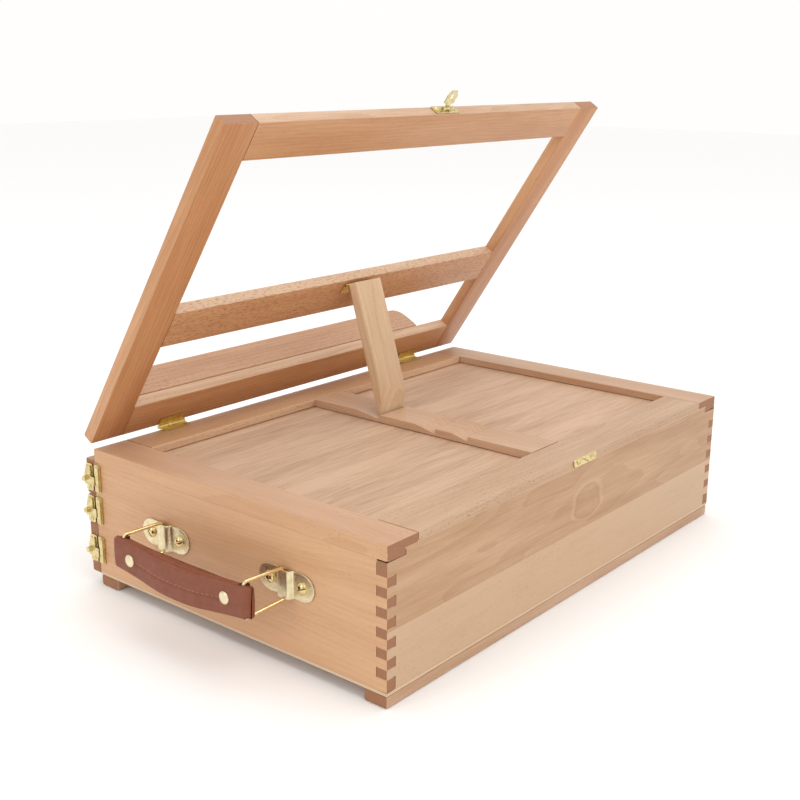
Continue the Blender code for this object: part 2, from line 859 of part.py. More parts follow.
stud_z = hinge_z + hasp_z - 0.0093
catch = node(
    "hasp_catch",
    plate_mesh(
        rounded((-0.0150, -0.0030), (0.0150, 0.0030), 0.0028, 4),
        half_depth + GAP,
        half_depth + GAP + 0.0007,
        TO_XZ,
    ),
    BRASS,
    root,
    (HASP_X, 0.0, stud_z),
)
joined(
    catch,
    [cylinder_mesh(0.0009, half_depth + GAP + 0.0003, half_depth + GAP + 0.0032, "Y", 16)],
)

# Carrying handle: two brackets, two wire loops and a leather grip on them
handle_z = BOX_HEIGHT - HANDLE_BELOW_TOP
swing = math.radians(LOOP_SWING)
axis_x = half_length + LOOP_AXIS_OUT
wire = LOOP_WIRE / 2
for count, axis_y in enumerate(HANDLE_AXES):
    label = ("front", "rear")[count]
    base_in = half_length + GAP
    bracket = node(
        f"handle_bracket_{label}",
        plate_mesh(
            rounded(
                (axis_y - BRACKET_LENGTH / 2, handle_z - BRACKET_HEIGHT / 2),
                (axis_y + BRACKET_LENGTH / 2, handle_z + BRACKET_HEIGHT / 2),
                BRACKET_HEIGHT / 2 - 0.0002,
                7,
            ),
            base_in,
            base_in + 0.0010,
            TO_YZ,
        ),
        BRASS,
        root,
    )
    half_channel = CHANNEL_WIDTH / 2
    hump = [
        (base_in + 0.0005, axis_y - half_channel),
        (base_in + CHANNEL_OUT - 0.0016, axis_y - half_channel),
        (base_in + CHANNEL_OUT, axis_y - half_channel + 0.0018),
        (base_in + CHANNEL_OUT, axis_y + half_channel - 0.0018),
        (base_in + CHANNEL_OUT - 0.0016, axis_y + half_channel),
        (base_in + 0.0005, axis_y + half_channel),
    ]
    channel_half = BRACKET_HEIGHT / 2
    joined(bracket, [plate_mesh(hump, handle_z - channel_half, handle_z + channel_half, TO_XY)])
    cut(
        bracket,
        [
            cylinder_mesh(
                wire + FIT, handle_z - 0.03, handle_z + 0.03, "Z", 20, (axis_x, axis_y)
            )
        ],
    )
    turning = empty(f"handle_{label}_swing", root, (axis_x, axis_y, handle_z), (0.0, 0.0, swing))
    high = LOOP_HEIGHT / 2
    bend = 0.0022
    corners = ((0.0, -high), (LOOP_REACH, -high), (LOOP_REACH, high), (0.0, high))
    ring = []
    for i, (cx, cz) in enumerate(corners):
        before = corners[i - 1]
        after = corners[(i + 1) % 4]
        to_before = Vector((before[0] - cx, before[1] - cz)).normalized()
        to_after = Vector((after[0] - cx, after[1] - cz)).normalized()
        centre = Vector((cx, cz)) + bend * (to_before + to_after)
        for j in range(5):
            share = math.radians(90 * j / 4)
            at = centre - bend * (to_after * math.cos(share) + to_before * math.sin(share))
            ring.append((at.x, 0.0, at.y))
    loop = node(f"handle_loop_{label}", wire_mesh(ring, wire, True), STEEL, turning)
    round_shading(loop)
    if count == 0:
        grip_empty = empty(
            "handle_grip_swing", turning, (LOOP_REACH, 0.0, 0.0), (0.0, 0.0, -swing)
        )

span = HANDLE_AXES[1] - HANDLE_AXES[0]
end_half = GRIP_END_HEIGHT / 2 - 0.0018
grip_low = -GRIP_OVER
grip_high = span + GRIP_OVER


def grip_edge(share, side):
    """Height of the grip's top or bottom edge at this share of its length."""
    bow = math.sin(math.pi * share) ** 2.2
    sag = GRIP_SAG * bow
    fuller = 0.0024 * bow
    return side * (end_half + fuller) - sag


def grip_fullness(share):
    """Half the grip's thickness at this share of its length, padded in the middle."""
    rise = min(1.0, max(0.0, (0.5 - abs(share - 0.5) - 0.19) / 0.2))
    return (GRIP_THICKNESS + (GRIP_MIDDLE - GRIP_THICKNESS) * rise * rise * (3.0 - 2.0 * rise)) / 2


def grip_section(share, inset):
    """One eight-cornered section of the grip, drawn in by inset."""
    y = grip_low + share * (grip_high - grip_low)
    thick = grip_fullness(share) - inset
    low = grip_edge(share, -1) + inset
    high = grip_edge(share, 1) - inset
    corner = 0.0014
    return [
        (-thick + corner, y, low),
        (thick - corner, y, low),
        (thick, y, low + corner),
        (thick, y, high - corner),
        (thick - corner, y, high),
        (-thick + corner, y, high),
        (-thick, y, high - corner),
        (-thick, y, low + corner),
    ]


def lofted(name, sections):
    """A closed mesh through sections that all have the same number of corners."""
    made = bmesh.new()
    rings = [[made.verts.new(point) for point in section] for section in sections]
    for before, after in zip(rings, rings[1:]):
        for i in range(len(before)):
            j = (i + 1) % len(before)
            made.faces.new((before[i], before[j], after[j], after[i]))
    made.faces.new(list(reversed(rings[0])))
    made.faces.new(rings[-1])
    bmesh.ops.recalc_face_normals(made, faces=made.faces)
    mesh = bpy.data.meshes.new(name)
    made.to_mesh(mesh)
    made.free()
    return mesh


half_grip = GRIP_THICKNESS / 2
rounding = 0.0008 / (grip_high - grip_low)
steps = [0.0, rounding] + [i / 20 for i in range(1, 20)] + [1.0 - rounding, 1.0]
sections = [grip_section(s, 0.0008 if s in (0.0, 1.0) else 0.0) for s in steps]
grip = node("handle_grip", lofted("handle_grip", sections), LEATHER, grip_empty)
rivets = (RIVET_INSET - GRIP_OVER, span + GRIP_OVER - RIVET_INSET)
rivet_heights = []
for at in rivets:
    share = (at - grip_low) / (grip_high - grip_low)
    rivet_heights.append((grip_edge(share, 1) + grip_edge(share, -1)) / 2)
cut(
    grip,
    [
        cylinder_mesh(wire + GRIP_FIT, -0.03, 0.03, "Z", 16, (0.0, 0.0)),
        cylinder_mesh(wire + GRIP_FIT, -0.03, 0.03, "Z", 16, (0.0, span)),
    ]
    + [
        cylinder_mesh(0.0023, -0.02, 0.02, "X", 16, (at, z))
        for at, z in zip(rivets, rivet_heights)
    ],
)
for label, at, z in zip(("front", "rear"), rivets, rivet_heights):
    rivet = node(
        f"handle_rivet_{label}",
        cylinder_mesh(0.0020, -half_grip - 0.0008, half_grip + 0.0008, "X", 16),
        BRASS,
        grip_empty,
        (0.0, at, z),
    )
    face = half_grip + GAP
    joined(
        rivet,
        [
            cylinder_mesh(RIVET_HEAD / 2, face, face + 0.0010, "X", 24),
            cylinder_mesh(RIVET_HEAD / 2, -face - 0.0010, -face, "X", 24),
        ],
    )

# Put the origin under the middle of the whole object
bpy.context.view_layer.update()
graph = bpy.context.evaluated_depsgraph_get()
corners = []
for obj in easel.objects:
    if obj.type == "MESH":
        solid = obj.evaluated_get(graph)
        mesh = solid.to_mesh()
        points = np.empty(len(mesh.vertices) * 3)
        mesh.vertices.foreach_get("co", points)
        world = np.array(solid.matrix_world)
        corners.append(points.reshape(-1, 3) @ world[:3, :3].T + world[:3, 3])
        solid.to_mesh_clear()
corners = np.concatenate(corners)
low = corners.min(axis=0)
high = corners.max(axis=0)
root.location = (
    float(-(low[0] + high[0]) / 2),
    float(-(low[1] + high[1]) / 2),
    float(-low[2]),
)
bpy.context.view_layer.update()
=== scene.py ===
"""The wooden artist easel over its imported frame: finished wood, brass and leather, in metres, +Z up."""
import json
import math

import bmesh
import bpy
from mathutils import Matrix, Vector


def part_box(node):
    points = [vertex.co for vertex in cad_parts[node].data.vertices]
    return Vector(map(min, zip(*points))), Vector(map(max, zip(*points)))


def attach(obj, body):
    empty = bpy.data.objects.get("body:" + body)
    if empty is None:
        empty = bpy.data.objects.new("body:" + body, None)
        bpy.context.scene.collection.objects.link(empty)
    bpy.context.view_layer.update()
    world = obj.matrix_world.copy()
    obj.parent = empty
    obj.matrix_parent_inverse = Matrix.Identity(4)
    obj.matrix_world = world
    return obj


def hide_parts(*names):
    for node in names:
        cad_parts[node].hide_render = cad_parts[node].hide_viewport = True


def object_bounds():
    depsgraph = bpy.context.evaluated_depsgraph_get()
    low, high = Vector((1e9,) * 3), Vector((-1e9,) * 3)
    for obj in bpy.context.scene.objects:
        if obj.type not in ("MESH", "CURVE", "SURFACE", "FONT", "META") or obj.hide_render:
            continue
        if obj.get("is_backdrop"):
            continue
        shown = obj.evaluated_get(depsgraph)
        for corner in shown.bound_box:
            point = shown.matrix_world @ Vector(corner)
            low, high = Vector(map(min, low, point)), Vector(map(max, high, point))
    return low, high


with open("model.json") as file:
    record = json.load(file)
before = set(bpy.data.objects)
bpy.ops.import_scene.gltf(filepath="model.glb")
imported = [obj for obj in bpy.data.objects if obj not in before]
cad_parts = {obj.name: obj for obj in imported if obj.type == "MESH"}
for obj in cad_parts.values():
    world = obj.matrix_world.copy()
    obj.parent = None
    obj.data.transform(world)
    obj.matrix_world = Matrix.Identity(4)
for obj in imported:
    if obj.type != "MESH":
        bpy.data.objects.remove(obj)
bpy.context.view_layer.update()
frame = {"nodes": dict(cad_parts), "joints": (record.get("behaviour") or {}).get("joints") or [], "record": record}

nodes = frame["nodes"]

# ---------------------------------------------------------------- places read from the frame
low_lid, high_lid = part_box("lid_stile_handle_side")
handle_wall_x = high_lid.x
far_wall_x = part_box("lid_stile_far_side")[0].x
box_top = high_lid.z
front_y = low_lid.y
rear_y = high_lid.y
middle_x = (handle_wall_x + far_wall_x) / 2
middle_y = (front_y + rear_y) / 2
joints = {joint["name"]: joint for joint in frame["joints"]}
hinge_axis = Vector(joints["easel_tilt"]["pos_m"])
tilt = math.radians(-joints["easel_tilt"]["range_deg"][0])
frame_space = Matrix.Translation(hinge_axis) @ Matrix.Rotation(tilt, 4, "X")


# ---------------------------------------------------------------- materials
TO_MM = (1000, 1000, 1000)
AXES = {"X": (1, 0, 0), "Y": (0, 1, 0), "Z": (0, 0, 1)}

# Pairs of a pale and a deep colour that a board's grain runs between
PLAIN = ((0.590, 0.382, 0.245), (0.470, 0.268, 0.148))
# The handle side's wood, partly painted light and shade: a warmer, more saturated orange than the other walls, for
# how the warm light falls on that side; the lid stile's side faces take it too
HANDLE_SIDE_WOOD_AND_SHADE = ((0.66, 0.395, 0.215), (0.56, 0.30, 0.150))
REAR_WALL = ((0.560, 0.350, 0.200), (0.425, 0.232, 0.114))
# Painted sheen: the lid stile's paler, pinkish colour stands in for the sheen on its top
LID_STILE_TOP_SHEEN = ((0.600, 0.375, 0.235), (0.50, 0.275, 0.155))
LID_REAR = ((0.555, 0.365, 0.230), (0.430, 0.250, 0.135))
LID_FRONT = ((0.60, 0.37, 0.21), (0.48, 0.26, 0.13))
# Painted light: the paler straw of the lid front rail's faces turned along Y, for the light on its inner face
LID_FRONT_INNER_FACE_LIT = ((0.74, 0.51, 0.33), (0.60, 0.37, 0.22))
LEDGE = ((0.57, 0.335, 0.20), (0.42, 0.210, 0.11))
RAIL = ((0.620, 0.335, 0.165), (0.480, 0.220, 0.092))
# Painted light: the paler colours of the rails' top and bottom edges, for the light those edges catch
RAIL_EDGE_PAINTED_LIGHT = ((0.640, 0.430, 0.280), (0.500, 0.290, 0.165))
STILE = ((0.600, 0.295, 0.130), (0.460, 0.190, 0.070))
LEG = ((0.710, 0.500, 0.320), (0.570, 0.365, 0.205))
SEAM = ((0.60, 0.37, 0.21), (0.52, 0.30, 0.155))
PLYWOOD = ((0.610, 0.410, 0.275), (0.430, 0.265, 0.165))
PLY_EDGE_PALE = (0.80, 0.62, 0.44)
PLY_EDGE_DEEP = (0.52, 0.34, 0.20)
END_GRAIN = (0.385, 0.170, 0.078)
STILE_END = (0.47, 0.23, 0.125)
PLY_END = (0.46, 0.28, 0.15)

# The glued rear wall and its knot
PALE_BOARD = (0.585, 0.400, 0.248)
OTHER_BOARD_MM = 61.0
GLUE_LINE_HALF = 0.00018
KNOT_HALF = (0.024, 0.0165)
KNOT_RINGS = [
    (0.0, 0.75), (0.2, 0.5), (0.45, 0.62), (0.62, 0.6), (0.74, 0.85), (0.80, 0.2), (0.93, 0.25), (1.0, 0.5),
]


def shaded(colour, factors):
    """A colour with each channel scaled."""
    return tuple(value * factor for value, factor in zip(colour, factors))


class Nodes:
    """Short names for building a material's node tree."""

    def __init__(self, name):
        self.material = bpy.data.materials.new(name)
        self.material.use_nodes = True
        self.tree = self.material.node_tree
        self.shader = self.tree.nodes["Principled BSDF"]

    def add(self, kind, **settings):
        made = self.tree.nodes.new(kind)
        for key, value in settings.items():
            setattr(made, key, value)
        return made

    def link(self, source, target):
        self.tree.links.new(source, target)

    def put(self, value, socket):
        """Sets a socket to a value, or links it."""
        if isinstance(value, bpy.types.NodeSocket):
            self.link(value, socket)
        else:
            socket.default_value = value

    def math(self, operation, first, second=0.0, clamp=False):
        made = self.add("ShaderNodeMath", operation=operation, use_clamp=clamp)
        self.put(first, made.inputs[0])
        self.put(second, made.inputs[1])
        return made.outputs[0]

    def mapping(self, source, scale, location=(0, 0, 0)):
        made = self.add("ShaderNodeMapping")
        self.link(source, made.inputs["Vector"])
        made.inputs["Scale"].default_value = scale
        made.inputs["Location"].default_value = location
        return made.outputs[0]

    def noise(self, vector, detail, roughness=0.5, distortion=0.0):
        made = self.add("ShaderNodeTexNoise")
        self.link(vector, made.inputs["Vector"])
        made.inputs["Scale"].default_value = 1.0
        made.inputs["Detail"].default_value = detail
        made.inputs["Roughness"].default_value = roughness
        made.inputs["Distortion"].default_value = distortion
        return made.outputs["Fac"]

    def ramp(self, value, stops):
        """A ramp of greys, from (position, brightness) stops."""
        made = self.add("ShaderNodeValToRGB")
        self.link(value, made.inputs["Fac"])
        marks = made.color_ramp.elements
        while len(marks) < len(stops):
            marks.new(0.5)
        for mark, (at, brightness) in zip(marks, stops):
            mark.position = at
            mark.color = (brightness, brightness, brightness, 1.0)
        return made.outputs["Color"]

    def mix(self, factor, first, second):
        made = self.add("ShaderNodeMix", data_type="RGBA")
        self.put(factor, made.inputs[0])
        for value, socket in ((first, made.inputs[6]), (second, made.inputs[7])):
            self.put(value if isinstance(value, bpy.types.NodeSocket) else (*value, 1.0), socket)
        return made.outputs[2]

    def facing(self, normal, direction):
        """How squarely a face looks along a direction, either way: 0 to 1."""
        made = self.add("ShaderNodeVectorMath", operation="DOT_PRODUCT")
        self.link(normal, made.inputs[0])
        made.inputs[1].default_value = direction
        return self.math("ABSOLUTE", made.outputs["Value"])

    def centred(self, value, amount):
        """A 0 to 1 value, moved to swing about nought by this amount."""
        return self.math("MULTIPLY", self.math("SUBTRACT", value, 0.5), amount)

    def bump(self, height, strength, distance):
        made = self.add("ShaderNodeBump")
        made.inputs["Strength"].default_value = strength
        made.inputs["Distance"].default_value = distance
        self.link(height, made.inputs["Height"])
        return made.outputs["Normal"]

    def plain(self, colour, roughness):
        self.shader.inputs["Base Color"].default_value = (*colour, 1)
        self.shader.inputs["Roughness"].default_value = roughness


def beech(
    name, grain, seed, pale, deep, end=END_GRAIN, fleck=0.35, ring=0.35, ring_size=3.0, streak=1.0,
    roughness=0.42, glued=None, knot=None, plies=False, ray=False, ends=True, painted_face_light=None,
):
    """Lacquered beech: growth rings, fibre streaks, short dark ray flecks and darker end grain.
    pale and deep are its two colours, and end that of its end grain; fleck, ring and streak are the
    strength of each mark, and ring_size is in millimetres. glued is the height of a glue line, with
    the board below it paler; knot is a place in X and Z; plies stripes the edges as plywood; ray
    gives larger flecks; ends=False leaves the end grain out; painted_face_light gives a direction and
    the two colours of the faces turned that way, which paint light and shade by how a face is turned."""
    wood = Nodes(name)
    coordinates = wood.add("ShaderNodeTexCoord")
    normal = coordinates.outputs["Normal"]
    split = wood.add("ShaderNodeSeparateXYZ")
    wood.link(coordinates.outputs["Object"], split.inputs[0])
    order = {"X": (1, 2, 0), "Y": (2, 0, 1), "Z": (0, 1, 2)}[grain]
    along = wood.add("ShaderNodeCombineXYZ")
    for target, axis in enumerate(order):
        wood.link(split.outputs[axis], along.inputs[target])
    shifts = (math.sin(seed * 12.9898) * 90, math.sin(seed * 78.233) * 90, seed * 53.7)
    millimetres = wood.mapping(along.outputs[0], TO_MM, shifts)
    if glued is not None:  # the board below the line has its own grain
        below = wood.math("LESS_THAN", split.outputs[2], glued)
        shift = wood.add("ShaderNodeCombineXYZ")
        for target in range(3):
            wood.link(wood.math("MULTIPLY", below, OTHER_BOARD_MM), shift.inputs[target])
        moved = wood.add("ShaderNodeVectorMath", operation="ADD")
        wood.link(millimetres, moved.inputs[0])
        wood.link(shift.outputs[0], moved.inputs[1])
        millimetres = moved.outputs[0]

    sway = wood.noise(wood.mapping(millimetres, (0.02, 0.02, 0.004)), 2.0)
    bent = wood.add("ShaderNodeVectorMath", operation="MULTIPLY_ADD")
    wood.link(wood.mapping(millimetres, (1.0, 1.0, 0.0)), bent.inputs[0])
    bent.inputs[1].default_value = (1, 1, 1)
    swing = wood.add("ShaderNodeCombineXYZ")
    wood.link(wood.math("MULTIPLY", sway, 26.0), swing.inputs[0])
    wood.link(wood.math("MULTIPLY", sway, 14.0), swing.inputs[1])
    wood.link(swing.outputs[0], bent.inputs[2])
    rings = wood.add("ShaderNodeTexWave", wave_type="RINGS", rings_direction="Z", wave_profile="SAW")
    wood.link(bent.outputs[0], rings.inputs["Vector"])
    rings.inputs["Scale"].default_value = 0.314 / ring_size
    rings.inputs["Distortion"].default_value = 1.2
    rings.inputs["Detail"].default_value = 2.0
    rings.inputs["Detail Scale"].default_value = 0.6

    broad = wood.noise(wood.mapping(millimetres, (0.06, 0.06, 0.006)), 3.0)
    fibre = wood.noise(wood.mapping(millimetres, (1.1, 1.1, 0.035)), 4.0, 0.6)
    fine = wood.noise(wood.mapping(millimetres, (3.4, 3.4, 0.16)), 2.0, 0.6)
    if ray:
        fleck_size, fleck_from, fleck_to, patchy = (1.1, 1.1, 0.24), 0.53, 0.62, 0.7
    else:
        fleck_size, fleck_from, fleck_to, patchy = (1.5, 1.5, 0.34), 0.60, 0.70, 0.25
    flecks = wood.noise(wood.mapping(millimetres, fleck_size), 1.0, 0.4)
    fleck_mask = wood.ramp(flecks, [(fleck_from, 0), (fleck_to, 1)])
    patches = wood.noise(wood.mapping(millimetres, (0.045, 0.045, 0.012), (7, 3, 1)), 2.0)
    patch = wood.ramp(patches, [(0.35, patchy), (0.65, 1)])

    tone = wood.math("MULTIPLY", rings.outputs["Fac"], ring)
    tone = wood.math("ADD", tone, wood.centred(fibre, 1.5 * streak))
    tone = wood.math("ADD", tone, wood.centred(broad, 1.9))
    tone = wood.math("ADD", tone, 0.32, clamp=True)
    if knot is not None:
        squares = []
        for source, at, half in zip((split.outputs[0], split.outputs[2]), knot, KNOT_HALF):
            offset = wood.math("MULTIPLY", wood.math("SUBTRACT", source, at), 1 / half)
            squares.append(wood.math("MULTIPLY", offset, offset))
        away = wood.math("SQRT", wood.math("ADD", *squares))
        away = wood.math("ADD", away, wood.centred(broad, 0.9))
        eye = wood.ramp(away, KNOT_RINGS)
        tone = wood.math("ADD", tone, wood.centred(eye, 1.3), clamp=True)
    if glued is not None:
        tone = wood.math("ADD", tone, 0.12)
        tone = wood.math("SUBTRACT", tone, wood.math("MULTIPLY", below, 0.52), clamp=True)
        line = wood.math("ABSOLUTE", wood.math("SUBTRACT", split.outputs[2], glued))
        line = wood.math("LESS_THAN", line, GLUE_LINE_HALF)
        tone = wood.math("ADD", tone, wood.math("MULTIPLY", line, 0.5), clamp=True)
    colour = wood.mix(tone, pale, deep)
    if glued is not None:
        colour = wood.mix(wood.math("MULTIPLY", below, 0.65), colour, PALE_BOARD)
    # Painted light and shade: faces turned along one direction get their own pale and deep colours, lighter or
    # darker as light falls on them
    if painted_face_light is not None:
        direction, lit_face_pale, lit_face_deep = painted_face_light
        painted_light_mask = wood.ramp(wood.facing(normal, direction), [(0.6, 0), (0.8, 1)])
        colour = wood.mix(painted_light_mask, colour, wood.mix(tone, lit_face_pale, lit_face_deep))
    if plies:
        layers = wood.add("ShaderNodeTexWave", wave_type="BANDS", bands_direction="Z", wave_profile="SIN")
        wood.link(wood.mapping(coordinates.outputs["Object"], TO_MM), layers.inputs["Vector"])
        layers.inputs["Scale"].default_value = 0.31
        edge = wood.math("LESS_THAN", wood.facing(normal, AXES["Z"]), 0.5)
        colour = wood.mix(edge, colour, wood.mix(layers.outputs["Fac"], PLY_EDGE_PALE, PLY_EDGE_DEEP))
    dark = shaded(deep, (0.62, 0.52, 0.46))
    fleck_amount = wood.math("MULTIPLY", wood.math("MULTIPLY", fleck_mask, patch), fleck)
    colour = wood.mix(fleck_amount, colour, dark)

    rough = wood.math("ADD", wood.math("MULTIPLY", fibre, 0.22), roughness - 0.11)
    if ends and not plies:
        across = wood.ramp(wood.facing(normal, AXES[grain]), [(0.72, 0), (0.9, 1)])
        pores = wood.noise(wood.mapping(millimetres, (2.2, 2.2, 2.2)), 3.0, 0.7)
        end_dark = shaded(end, (0.72, 0.72, 0.72))
        end_colour = wood.mix(wood.ramp(pores, [(0.35, 0), (0.65, 1)]), end, end_dark)
        end_colour = wood.mix(wood.math("MULTIPLY", rings.outputs["Fac"], 0.35), end_colour, end_dark)
        colour = wood.mix(across, colour, end_colour)
        rough = wood.math("ADD", rough, wood.math("MULTIPLY", across, 0.2))
    wood.link(colour, wood.shader.inputs["Base Color"])
    wood.link(rough, wood.shader.inputs["Roughness"])
    wood.shader.inputs["Specular IOR Level"].default_value = 0.5
    height = wood.math("ADD", wood.math("MULTIPLY", fine, 0.5), wood.math("MULTIPLY", fleck_mask, -0.6))
    wood.link(wood.bump(height, 0.25, 0.00012), wood.shader.inputs["Normal"])
    return wood.material


def brass(name, colour, seed, roughness=0.24, worn=0.5, dents=0.35):
    """Plated brass sheet: faint brushing, smudges and small dents."""
    metal = Nodes(name)
    coordinates = metal.add("ShaderNodeTexCoord").outputs["Object"]
    millimetres = metal.mapping(coordinates, TO_MM, (seed * 3.1, seed * 7.7, 0))
    smudge = metal.noise(metal.mapping(millimetres, (0.25, 0.25, 0.25)), 4.0, 0.6)
    brushed = metal.noise(metal.mapping(millimetres, (0.6, 5.0, 5.0)), 2.0, 0.5)
    dull = shaded(colour, (0.72, 0.66, 0.55))
    mask = metal.ramp(smudge, [(0.42, 0), (0.68, worn)])
    metal.link(metal.mix(mask, colour, dull), metal.shader.inputs["Base Color"])
    metal.shader.inputs["Metallic"].default_value = 1.0
    rough = metal.math("ADD", metal.math("MULTIPLY", smudge, 0.25), roughness - 0.1)
    rough = metal.math("ADD", rough, metal.math("MULTIPLY", brushed, 0.08), clamp=True)
    metal.link(rough, metal.shader.inputs["Roughness"])
    ripple = metal.noise(metal.mapping(millimetres, (0.35, 0.35, 0.35), (5, 5, 5)), 2.0)
    height = metal.math("ADD", metal.math("MULTIPLY", brushed, 0.15), ripple)
    metal.link(metal.bump(height, dents, 0.0004), metal.shader.inputs["Normal"])
    return metal.material


def leather(name, colour, painted_hollow_shade):
    """Leather, and thread waxed to match: pebbled grain, creases, and painted shade, a darker colour in the
    pebbles' hollows.
    """
    skin = Nodes(name)
    coordinates = skin.add("ShaderNodeTexCoord").outputs["Object"]
    millimetres = skin.mapping(coordinates, TO_MM)
    pebble = skin.add("ShaderNodeTexVoronoi", feature="F1")
    skin.link(skin.mapping(millimetres, (1.5, 1.1, 1.5)), pebble.inputs["Vector"])
    pebble.inputs["Scale"].default_value = 1.0
    mottled = skin.noise(skin.mapping(millimetres, (0.16, 0.16, 0.16)), 4.0, 0.6)
    creases = skin.noise(skin.mapping(millimetres, (0.7, 0.22, 0.9)), 3.0, 0.6, 0.6)
    tone = skin.ramp(mottled, [(0.3, 0), (0.7, 1)])
    shade = skin.mix(tone, colour, shaded(colour, (0.82, 0.82, 0.82)))
    # Painted shade: the pebbles' hollows darkened towards the shade colour
    shade = skin.mix(skin.ramp(pebble.outputs["Distance"], [(0.55, 0), (0.95, 0.3)]), shade, painted_hollow_shade)
    skin.link(shade, skin.shader.inputs["Base Color"])
    rough = skin.math("ADD", skin.math("MULTIPLY", mottled, 0.25), 0.42)
    skin.link(rough, skin.shader.inputs["Roughness"])
    skin.shader.inputs["Specular IOR Level"].default_value = 0.42
    height = skin.math("ADD", skin.math("MULTIPLY", pebble.outputs["Distance"], -0.6), creases)
    skin.link(skin.bump(height, 0.5, 0.00022), skin.shader.inputs["Normal"])
    return skin.material


brass_plate = brass("brass_plate", (0.80, 0.70, 0.46), 1)
# The screws' brass is darker and more saturated than the plates': partly painted shade, for the dark shadows on
# and round the screw heads
brass_screw_painted_shade = brass("brass_screw_painted_shade", (0.78, 0.63, 0.33), 2, 0.13, 0.5, 0.1)
brass_hinge = brass("brass_hinge", (0.80, 0.62, 0.26), 3, 0.26, 0.7)
brass_wire = brass("brass_wire", (0.86, 0.66, 0.34), 4, 0.15, 0.3, 0.05)
brass_rivet = brass("brass_rivet", (0.84, 0.75, 0.52), 5, 0.3, 0.3, 0.15)
brass_latch = brass("brass_latch", (0.74, 0.63, 0.34), 6, 0.2, 0.9, 0.9)
# The third colour of each is the painted shade in the pebble hollows
hide = leather("saddle_leather", (0.250, 0.070, 0.033), (0.120, 0.034, 0.018))
thread = leather("waxed_thread", (0.40, 0.17, 0.095), (0.22, 0.09, 0.05))


# ---------------------------------------------------------------- pieces
def finish_mesh(name, mesh, material, body, space=None, replaces=(), smooth=40.0):
    """One shown piece, smooth shaded, riding on its body."""
    made = bpy.data.objects.new(name, mesh)
    bpy.context.scene.collection.objects.link(made)
    mesh.materials.clear()
    mesh.materials.append(material)
    for face in mesh.polygons:
        face.use_smooth = True
    mesh.set_sharp_from_angle(angle=math.radians(smooth))
    if space is not None:
        made.matrix_world = space
    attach(made, body)
    if replaces:
        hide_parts(*replaces)
    return made


def mesh_from(made, name):
    mesh = bpy.data.meshes.new(name)
    made.normal_update()
    made.to_mesh(mesh)
    made.free()
    return mesh


def prism(outline, low, high):
    """A bmesh of an outline in Y and Z, made solid between two places in X."""
    made = bmesh.new()
    bottom = [made.verts.new((low, y, z)) for y, z in outline]
    top = [made.verts.new((high, y, z)) for y, z in outline]
    made.faces.new(list(reversed(bottom)))
    made.faces.new(top)
    count = len(outline)
    for i in range(count):
        after = (i + 1) % count
        made.faces.new((bottom[i], bottom[after], top[after], top[i]))
    bmesh.ops.recalc_face_normals(made, faces=made.faces)
    return made


def soften(made, width, segments=3, keep=None, angle=30.0):
    """Rounds a bmesh's sharp edges, leaving those that keep() names."""
    edges = []
    for edge in made.edges:
        if len(edge.link_faces) != 2 or edge.calc_face_angle(0.0) < math.radians(angle):
            continue
        if keep and keep(edge):
            continue
        edges.append(edge)
    bmesh.ops.bevel(
        made, geom=edges, offset=width, segments=segments, profile=0.5, affect="EDGES", clamp_overlap=True
    )
    return made


def board(low, high, width, butted=()):
    """A bmesh box whose edges are rounded, except round the faces that butt against another board.
    butted names those faces as axis letters with a sign, such as "-X"."""
    made = bmesh.new()
    bmesh.ops.create_cube(made, size=1.0)
    low, high = Vector(low), Vector(high)
    bmesh.ops.scale(made, vec=high - low, verts=made.verts)
    bmesh.ops.translate(made, vec=(high + low) / 2, verts=made.verts)

    def on_butt(edge):
        for face in butted:
            axis = "XYZ".index(face[1])
            at = high[axis] if face[0] == "+" else low[axis]
            if all(abs(vertex.co[axis] - at) < 1e-7 for vertex in edge.verts):
                return True
        return False

    return soften(made, width, keep=on_butt)


def local_box(name, space):
    """A CAD node's lowest and highest corner in a tilted space."""
    inverse = space.inverted()
    points = [inverse @ vertex.co for vertex in nodes[name].data.vertices]
    low = Vector([min(point[i] for point in points) for i in range(3)])
    high = Vector([max(point[i] for point in points) for i in range(3)])
    return low, high


# ---------------------------------------------------------------- easel frame
TIGHT = 0.00003  # the gap left in a glued joint
STILE_ROUND = 0.0007
RAIL_ROUND = 0.0006
# The stiles' sides, turned along X, get the rails' colours and their faces a deeper orange: painted light and
# shade by face direction
for side, seed in (("handle_side", 3), ("far_side", 8)):
    low, high = local_box(f"frame_stile_{side}", frame_space)
    finish_mesh(
        f"stile_{side}",
        mesh_from(board(low, high, STILE_ROUND), f"stile_{side}"),
        beech(
            f"beech_stile_{side}", "Y", seed, *STILE, STILE_END,
            fleck=0.25, ring=0.45, painted_face_light=(AXES["X"], *RAIL),
        ),
        "easel_frame",
        frame_space,
        (f"frame_stile_{side}",),
    )
inner_right = local_box("frame_stile_handle_side", frame_space)[0].x
inner_left = local_box("frame_stile_far_side", frame_space)[1].x
rail_looks = {
    "top": dict(seed=11, fleck=0.3, ring=0.4),
    "middle": dict(seed=5, fleck=0.6, ring=0.05, ray=True),
    "bottom": dict(seed=17, fleck=0.4, ring=0.5),
}
for rail, looks in rail_looks.items():
    low, high = local_box(f"frame_rail_{rail}", frame_space)
    low.x = inner_left + TIGHT
    high.x = inner_right - TIGHT
    # The rails' edges turned up and down the frame are painted paler, as lit faces
    finish_mesh(
        f"rail_{rail}",
        mesh_from(board(low, high, RAIL_ROUND, ("-X", "+X")), f"rail_{rail}"),
        beech(f"beech_rail_{rail}", "X", pale=RAIL[0], deep=RAIL[1], painted_face_light=(AXES["Y"], *RAIL_EDGE_PAINTED_LIGHT), **looks),
        "easel_frame",
        frame_space,
        (f"frame_rail_{rail}",),
    )


